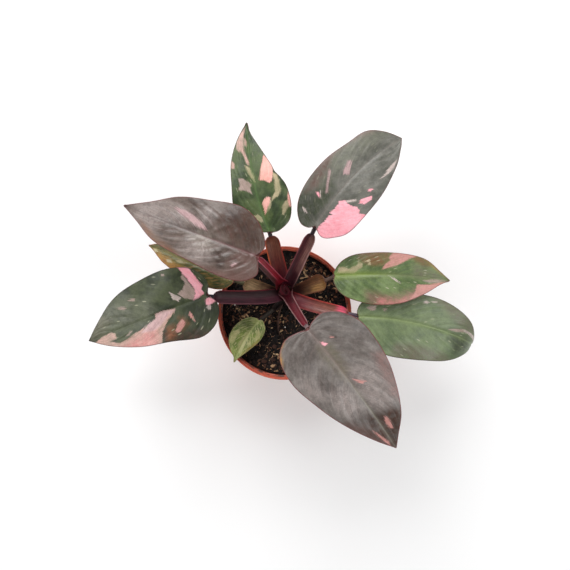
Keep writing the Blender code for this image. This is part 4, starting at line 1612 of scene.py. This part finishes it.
@dataclass
class Pot:
    """Tapered nursery pot with a collar, a grooved rim and drainage holes."""

    finish: PlasticFinish = PlasticFinish()
    rim_radius: float = 60.0
    height: float = 105.0
    foot_radius: float = 43.0
    collar_height: float = 13.0
    collar_step: float = 2.0
    wall: float = 1.4
    floor: float = 2.0
    rim_thickness: float = 3.0
    drain_count: int = 8
    drain_radius: float = 3.5
    drain_circle: float = 33.0
    drain_sides: int = 24
    drill_middle: float = 1.0
    drill_length: float = 12.0
    hub_radius: float = 30.0
    splash_low: float = 80.0
    sharp_over: float = 50.0
    steps: int = 180

    def inner_radius(self, height: float) -> float:
        """Inner radius of the tapered wall at a height.

        Args:
            height: height in mm.

        Returns:
            The radius in mm.
        """
        top = self.rim_radius - self.collar_step - self.wall
        foot = self.foot_radius - self.wall
        collar_low = self.height - self.collar_height
        return foot + (top - foot) * min(height, collar_low) / collar_low

    def _profile(self) -> list[tuple[float, float]]:
        """Half of the pot's section, from the middle of its floor inside to the middle outside.

        Returns:
            Points of (radius, height) in mm.
        """
        rim, top = self.rim_radius, self.height
        low = top - self.collar_height
        inside = rim - self.rim_thickness
        return [
            (0, self.floor), (self.hub_radius, self.floor), (self.inner_radius(self.floor) - 1, self.floor),
            (self.inner_radius(self.floor), self.floor + 1), (self.inner_radius(low), low),
            (inside - 0.8, top - 3.4), (inside, top - 3.0), (inside, top - 1.0), (inside + 0.2, top - 0.6),
            (inside + 0.8, top - 0.5), (inside + 1.1, top - 1.0), (inside + 1.5, top - 1.0),
            (inside + 1.8, top - 0.2), (inside + 2.1, top), (rim - 0.4, top), (rim - 0.1, top - 0.3),
            (rim, top - 0.9), (rim - 0.3, low + 1.2), (rim - 0.4, low + 0.6), (rim - 0.6, low + 0.2),
            (rim - 1.0, low), (rim - self.collar_step, low - 0.4), (self.foot_radius + 0.4, 1.0),
            (self.foot_radius, 0.3),
            (self.foot_radius - 0.6, 0), (self.hub_radius, 0), (0, 0),
        ]

    def build(self) -> bpy.types.Object:
        """Turn the pot, drill its drainage holes and dress it.

        Returns:
            The piece.
        """
        bm = turned(self._profile(), self.steps)
        body = show("pot_body", to_mesh(bm, "pot_body"))
        drill = bmesh.new()
        for index in range(self.drain_count):
            angle = math.tau * (index + 0.5) / self.drain_count
            x, y = self.drain_circle * math.cos(angle), self.drain_circle * math.sin(angle)
            place = Matrix.Translation((x * MM, y * MM, self.drill_middle * MM))
            bmesh.ops.create_cone(
                drill, cap_ends=True, segments=self.drain_sides, radius1=self.drain_radius * MM,
                radius2=self.drain_radius * MM, depth=self.drill_length * MM, matrix=place,
            )
        cutter = show("drill", to_mesh(drill, "drill"))
        cut = body.modifiers.new("Drain", "BOOLEAN")
        cut.operation = "DIFFERENCE"
        cut.solver = "EXACT"
        cut.object = cutter
        mesh = evaluated(body)
        bpy.data.objects.remove(cutter, do_unlink=True)
        mesh.materials.clear()
        inside = mesh.attributes.new("inside", "FLOAT", "POINT")
        widest = self.rim_radius - self.rim_thickness + 0.4
        for vertex in mesh.vertices:
            radius = math.hypot(vertex.co.x, vertex.co.y) / MM
            within = radius < widest and self.splash_low < vertex.co.z / MM < self.height - 0.5
            inside.data[vertex.index].value = 1.0 if within else 0.0
        mesh.set_sharp_from_angle(angle=math.radians(self.sharp_over))
        piece = show("nursery_pot", mesh, self.finish.material("nursery_pot"))
        settle(piece, "terracotta_plastic", "pot")
        return piece


@dataclass(frozen=True)
class Chip:
    """A piece of bark that shows well: its place on the mix, its size, its turn and its shade."""

    x: float
    y: float
    length: float
    width: float
    turn: float
    shade: float


@dataclass
class PottingMix:
    """Potting mix that fills the pot, with what lies loose on it."""

    pot: Pot
    low_gap: float = 0.3
    relief: float = 1.3
    rings: int = 72
    steps: int = 200
    crumb_count: int = 1500
    chip_count: int = 700
    fibre_count: int = 150
    grain_count: int = 6
    crumb_size: tuple[float, float] = (0.8, 2.0)
    crumb_extra: float = 2.6
    crumb_power: int = 6
    chip_least: float = 1.0
    chip_extra: float = 4.4
    chip_power: float = 2.2
    chip_slimness: tuple[float, float] = (0.25, 0.5)
    chip_thickness: float = 0.9
    grain_size: tuple[float, float] = (0.9, 1.7)
    seed: int = 11
    wall_level: float = 92.0
    clear_of_stem: float = 8.0
    heap_spread: float = 8.0
    fibre_radius: float = 0.14
    fibre_steps: int = 6
    fibre_step: tuple[float, float] = (0.6, 1.5)
    fibre_bend: float = 0.22
    fibre_lift: float = 0.25
    earth: BitFinish = BitFinish(tone(13, 10, 9), tone(29, 20, 18), tone(72, 46, 36), 0.92)
    bark: BitFinish = BitFinish(tone(62, 36, 28), tone(126, 84, 58), tone(210, 176, 134))
    grit: BitFinish = BitFinish(tone(150, 146, 138), tone(200, 196, 188), tone(226, 222, 214), 0.85)
    coir: BitFinish = BitFinish(tone(92, 64, 46), tone(150, 118, 90), tone(196, 170, 138))
    heaps: Outline = (
        (-48, -8), (-38, 0), (-24, 5), (-16, -5), (-2, -11), (23, 46), (29, 40), (-10, -47), (-10, -38),
        (38, 21), (21, 36), (31, 31), (25, 26),
    )
    chips: tuple[Chip, ...] = (
        Chip(-12.6, -49.0, 12.0, 2.8, 29, 0.75), Chip(-7.7, -37.7, 5.5, 1.6, -20, 0.95),
        Chip(-10.4, -21.8, 5.0, 2.0, 5, 0.6), Chip(-25.3, 4.7, 4.0, 1.8, 60, 0.85),
        Chip(-36.3, -3.0, 5.0, 1.6, 65, 0.8), Chip(-39.0, -1.0, 4.0, 1.4, -35, 0.7),
        Chip(26.5, 45.3, 3.6, 2.0, -20, 0.9), Chip(18.0, 41.0, 7.0, 2.6, 60, 0.5),
        Chip(24.6, 40.2, 6.0, 3.6, 10, 0.3), Chip(-7.5, -53.0, 7.0, 1.0, 0, 0.9),
        Chip(-17.0, -6.0, 4.5, 1.6, 70, 0.8), Chip(-14.0, -9.0, 3.6, 1.5, -50, 0.7),
    )

    def height(self, x: float, y: float) -> float:
        """Height of the mix at a place: the frame's low mounds with finer clods on them.

        Args:
            x: place to the right in mm.
            y: place to the far side in mm.

        Returns:
            The height in mm.
        """
        mounds = math.sin(x / 11 + 0.7) * math.cos(y / 9 - 0.4)
        lumps = math.sin(x / 4.3 + y / 6.1) * math.cos(y / 5.2 - x / 7.7 + 1.3)
        clods = noise.fractal(Vector((x / 3.2, y / 3.2, 2.0)), 0.9, 2.1, 4)
        return STEM_LINE.soil_top + self.relief * (0.65 * mounds + 0.35 * lumps + 0.55 * clods)

    def _body(self) -> bpy.types.Object:
        """The mix itself, closed and turned, with a lumpy top.

        Returns:
            The piece.
        """
        widest = self.pot.height - self.pot.collar_height
        top = self.pot.inner_radius(widest) - self.low_gap
        level = STEM_LINE.soil_top
        profile = [(top * ring / self.rings, level) for ring in range(self.rings + 1)]
        low = self.pot.floor + self.low_gap
        profile += [(top, widest), (self.pot.inner_radius(low) - 2 * self.low_gap, low), (0, low)]
        bm = turned(profile, self.steps)
        for vertex in bm.verts:
            if vertex.co.z > (level - 0.5) * MM:
                vertex.co.z = self.height(vertex.co.x / MM, vertex.co.y / MM) * MM
        piece = show("potting_mix", to_mesh(bm, "potting_mix"), EarthFinish().material("potting_mix"))
        settle(piece, "potting_mix", "soil")
        return piece

    def _spot(self, draw: random.Random, margin: float) -> tuple[float, float]:
        """A random place on the mix, clear of the stem and the wall.

        Args:
            draw: source of random numbers.
            margin: clearance from the wall in mm.

        Returns:
            The place in mm.
        """
        while True:
            radius = (self.pot.inner_radius(self.wall_level) - margin) * math.sqrt(draw.random())
            angle = draw.random() * math.tau
            x, y = radius * math.cos(angle), radius * math.sin(angle)
            if math.hypot(x - STEM_LINE.x, y - STEM_LINE.y) > self.clear_of_stem:
                return x, y

    def _near_heap(self, draw: random.Random) -> tuple[float, float]:
        """A random place near one of the heaps of coarse bits.

        Args:
            draw: source of random numbers.

        Returns:
            The place in mm.
        """
        while True:
            x, y = (centre + draw.gauss(0, self.heap_spread) for centre in draw.choice(self.heaps))
            if math.hypot(x, y) < self.pot.inner_radius(self.wall_level) - 3:
                return x, y

    def _bits(
        self, name: str, places: list[tuple[float, ...]], facets: int, jitter: float, finish: BitFinish,
    ) -> bpy.types.Object:
        """Scatter irregular lumps as one piece.

        Args:
            name: name of the piece.
            places: (x, y, length, width, thickness, turn, shade) for each lump, in mm and degrees.
            facets: how often the starting ball is divided.
            jitter: how far its corners stray, as a share of their distance.
            finish: what the lumps are made of.

        Returns:
            The piece.
        """
        draw = random.Random(name)
        bm = bmesh.new()
        layer = bm.verts.layers.float.new("shade")
        for x, y, length, width, thick, turn, shade in places:
            lift = self.height(x, y) + thick * 0.25
            tilt = Matrix.Rotation(draw.uniform(-0.35, 0.35), 4, "X")
            tilt = tilt @ Matrix.Rotation(draw.uniform(-0.3, 0.3), 4, "Y")
            size = Matrix.Diagonal((length / 2 * MM, width / 2 * MM, thick / 2 * MM, 1))
            place = Matrix.Translation((x * MM, y * MM, lift * MM))
            place = place @ Matrix.Rotation(math.radians(turn), 4, "Z")
            made = bmesh.ops.create_icosphere(bm, subdivisions=facets, radius=1.0)["verts"]
            for vertex in made:
                vertex.co *= 1 + draw.uniform(-jitter, jitter)
                vertex[layer] = shade
            bmesh.ops.transform(bm, matrix=place @ tilt @ size, verts=made)
        mesh = to_mesh(bm, name)
        mesh.shade_flat()
        piece = show(name, mesh, finish.material(name))
        settle(piece, "potting_mix")
        return piece

    def _fibres(self, draw: random.Random) -> bpy.types.Object:
        """Thin curved fibres that lie on the mix, as one piece.

        Args:
            draw: source of random numbers.

        Returns:
            The piece.
        """
        curve = bpy.data.curves.new("coir_fibres", "CURVE")
        curve.dimensions = "3D"
        curve.bevel_depth = self.fibre_radius * MM
        curve.bevel_resolution = 1
        curve.use_fill_caps = True
        for _ in range(self.fibre_count):
            x, y = self._spot(draw, 6.0)
            turn = draw.uniform(0, math.tau)
            bend = draw.uniform(-self.fibre_bend, self.fibre_bend)
            step = draw.uniform(*self.fibre_step)
            spline = curve.splines.new("POLY")
            spline.points.add(self.fibre_steps)
            for point in spline.points:
                height = self.height(x, y) + self.fibre_lift
                point.co = (x * MM, y * MM, height * MM, 1.0)
                point.radius = draw.uniform(0.6, 1.3)
                x += step * math.cos(turn)
                y += step * math.sin(turn)
                turn += bend
        piece = show("coir_fibres", evaluated(show("fibre_curve", curve)))
        shades = piece.data.attributes.new("shade", "FLOAT", "POINT")
        for vertex in piece.data.vertices:
            shades.data[vertex.index].value = 0.5 + 0.5 * noise.noise(vertex.co * 90)
        piece.data.materials.append(self.coir.material("coir_fibres"))
        settle(piece, "potting_mix")
        return piece

    def build(self) -> None:
        """Make the mix and everything that lies on it."""
        draw = random.Random(self.seed)
        self._body()
        crumbs = []
        for _ in range(self.crumb_count):
            x, y = self._spot(draw, 1.5)
            size = draw.uniform(*self.crumb_size) + self.crumb_extra * draw.random() ** self.crumb_power
            crumbs.append((x, y, size * 1.2, size, size * 0.8, draw.uniform(0, 360), draw.random()))
        self._bits("mix_crumbs", crumbs, 1, 0.28, self.earth)
        chips = [(c.x, c.y, c.length, c.width, 1.0, c.turn, c.shade) for c in self.chips]
        for index in range(self.chip_count):
            x, y = self._spot(draw, 4.0) if index % 3 == 0 else self._near_heap(draw)
            length = self.chip_least + self.chip_extra * draw.random() ** self.chip_power
            width = length * draw.uniform(*self.chip_slimness)
            chips.append((x, y, length, width, self.chip_thickness, draw.uniform(0, 360), draw.random()))
        self._bits("bark_chips", chips, 1, 0.3, self.bark)
        grains = []
        for _ in range(self.grain_count):
            x, y = self._spot(draw, 5.0)
            size = draw.uniform(*self.grain_size)
            grains.append((x, y, size * 1.2, size, size, draw.uniform(0, 360), 1.0))
        self._bits("perlite_grains", grains, 2, 0.16, self.grit)
        self._fibres(draw)


@dataclass
class Stem:
    """Short leaning stem with leaf scars and the flat pointed bud of the next leaf."""

    finish: BarkFinish = BarkFinish(tone(50, 8, 16), tone(88, 16, 30), 700.0)
    bud_start: float = 16.0
    bud_flatness: float = 0.6
    bud_turn: float = 112.0
    foot: float = -27.0
    top: float = 41.0
    bud: float = 48.0
    scars: tuple[float, ...] = (25.0, 12.0, 3.0)
    swell: float = 0.5
    steps: int = 48

    def build(self) -> bpy.types.Object:
        """Turn the stem, lean it and dress it.

        Returns:
            The piece.
        """
        edge = STEM_LINE.radius
        ring = edge - self.swell
        profile = [(0, self.bud), (0.4, self.bud - 0.4), (0.9, self.bud - 1.6), (1.9, self.top + 1.5)]
        profile += [(2.9, self.top - 2.5), (3.9, 35), (ring, 30)]
        for scar in self.scars:
            profile += [(ring, scar + 1.5), (ring + 0.35, scar + 0.5), (edge, scar), (ring, scar - 1.5)]
        profile += [(edge, -4), (edge, self.foot + 1), (edge - 1, self.foot), (0, self.foot)]
        bm = turned(profile, self.steps)
        across = direction(self.bud_turn + 90, 0)
        for vertex in bm.verts:
            flatness = self.bud_flatness * ease(self.bud_start, self.top - 4, vertex.co.z / MM)
            vertex.co -= across * vertex.co.dot(across) * flatness
        bmesh.ops.transform(bm, matrix=STEM_LINE.placed(), verts=bm.verts)
        piece = show("main_stem", to_mesh(bm, "main_stem"), self.finish.material("main_stem"))
        settle(piece, "stem_skin", "stem")
        return piece


@dataclass
class AerialRoot:
    """Thin root that arches from the stem and dips into the mix."""

    finish: BarkFinish = BarkFinish(tone(46, 30, 26), tone(98, 72, 60), 2200.0)
    radius: float = 0.9
    points: tuple[Place, ...] = (
        (-1.2, 9.9, 98.9), (-2.6, 7.0, 98.4), (-4.6, 2.0, 98.0), (-5.7, -4.0, 97.9), (-6.0, -10.0, 97.8),
        (-5.8, -15.0, 97.8), (-5.6, -17.0, 97.0), (-5.5, -17.8, 95.6), (-5.5, -18.0, 93.0),
        (-5.5, -18.0, 87.0),
    )

    def build(self) -> bpy.types.Object:
        """Sweep the root along its points and dress it.

        Returns:
            The piece.
        """
        curve = bpy.data.curves.new("root_curve", "CURVE")
        curve.dimensions = "3D"
        curve.bevel_depth = self.radius * MM
        curve.bevel_resolution = 4
        curve.use_fill_caps = True
        spline = curve.splines.new("NURBS")
        spline.points.add(len(self.points) - 1)
        for point, place in zip(spline.points, self.points):
            point.co = (*(value * MM for value in place), 1.0)
        spline.use_endpoint_u = True
        spline.order_u = 3
        spline.resolution_u = 8
        mesh = evaluated(show("root_curve", curve))
        mesh.shade_smooth()
        piece = show("air_root", mesh, self.finish.material("air_root"))
        settle(piece, "root_skin", "aerial_root")
        return piece


@dataclass(frozen=True)
class Softbox:
    """A square soft light: its place and size in metres, and its power in watts."""

    name: str
    place: Place
    size: float
    watts: float


@dataclass
class Studio:
    """Pale floor that runs into a lit backdrop, soft light, and the camera that looks straight down."""

    camera_place: Place = (0.3, 25.2, 815.0)
    lens: float = 50.0
    sensor: float = 36.0
    floor_size: float = 4.0
    floor_tone: Colour = (0.92, 0.92, 0.92, 1.0)
    floor_cloud: Colour = (0.86, 0.86, 0.87, 1.0)
    floor_rough: float = 0.9
    unlit: Colour = (0.0, 0.0, 0.0, 1.0)
    air: float = 0.28
    glow: float = 0.75
    glow_start: float = 0.5
    glow_full: float = 2.2
    aim: Place = (0.0, 0.02, 0.1)
    lamps: tuple[Softbox, ...] = (
        Softbox("key_softbox", (-0.3, 1.25, 1.5), 1.2, 31.0),
        Softbox("right_fill", (1.3, -0.4, 1.4), 1.0, 13.0),
        Softbox("left_fill", (-1.4, -0.2, 1.1), 1.0, 10.0),
    )

    def _floor(self) -> None:
        """Wide matte floor under the pot."""
        bm = bmesh.new()
        bmesh.ops.create_grid(bm, x_segments=1, y_segments=1, size=self.floor_size)
        board = NodeBoard("studio_floor")
        cloud = board.noise(board.place(), 3.0)
        colour = board.mix(cloud * 0.03, self.floor_tone, self.floor_cloud)
        distance = board.node("ShaderNodeVectorMath", {"operation": "LENGTH"}, {0: board.place()}, output=1)
        glow = board.mix(distance.ramp(self.glow_start, self.glow_full), self.unlit, self.floor_tone)
        normal = board.bump(cloud, 0.01)
        skin = board.surface(
            colour, self.floor_rough, normal, Emission_Color=glow, Emission_Strength=self.glow,
        )
        show("studio_floor", to_mesh(bm, "studio_floor"), skin)

    def _lamp(self, box: Softbox) -> None:
        """Hang one light, which faces the plant.

        Args:
            box: the light.
        """
        lamp = bpy.data.lights.new(box.name, "AREA")
        lamp.shape = "SQUARE"
        lamp.size = box.size
        lamp.energy = box.watts
        item = bpy.data.objects.new(box.name, lamp)
        item.location = box.place
        item.rotation_euler = (Vector(self.aim) - Vector(box.place)).to_track_quat("-Z", "Y").to_euler()
        item.visible_camera = False
        bpy.context.scene.collection.objects.link(item)

    def _backdrop(self) -> None:
        """Light the air evenly, and show the camera the floor's tone where the floor ends."""
        world = bpy.data.worlds.new("studio_air")
        world.use_nodes = True
        tree = world.node_tree
        air = tree.nodes["Background"]
        air.inputs["Color"].default_value = (1, 1, 1, 1)
        air.inputs["Strength"].default_value = self.air
        backdrop = tree.nodes.new("ShaderNodeBackground")
        backdrop.inputs["Color"].default_value = self.floor_tone
        choice = tree.nodes.new("ShaderNodeMixShader")
        sight = tree.nodes.new("ShaderNodeLightPath")
        tree.links.new(sight.outputs["Is Camera Ray"], choice.inputs[0])
        tree.links.new(air.outputs[0], choice.inputs[1])
        tree.links.new(backdrop.outputs[0], choice.inputs[2])
        tree.links.new(choice.outputs[0], tree.nodes["World Output"].inputs["Surface"])
        bpy.context.scene.world = world

    def build(self) -> None:
        """Set up floor, light and camera."""
        self._floor()
        for box in self.lamps:
            self._lamp(box)
        self._backdrop()
        bpy.context.scene.view_settings.view_transform = "Standard"
        camera = bpy.data.cameras.new("camera")
        camera.lens = self.lens
        camera.sensor_width = self.sensor
        item = bpy.data.objects.new("camera", camera)
        item.location = Vector(self.camera_place) * MM
        bpy.context.scene.collection.objects.link(item)
        bpy.context.scene.camera = item


def main() -> None:
    """Build every piece in order."""
    logging.basicConfig(level=logging.INFO, format="%(message)s")
    Studio().build()
    pot = Pot()
    pot.build()
    PottingMix(pot).build()
    Stem().build()
    AerialRoot().build()
    for leaf in LEAVES:
        blade = Blade(leaf)
        blade.build()
        Stalk(leaf, blade).build()


if __name__ == "__main__":
    main()
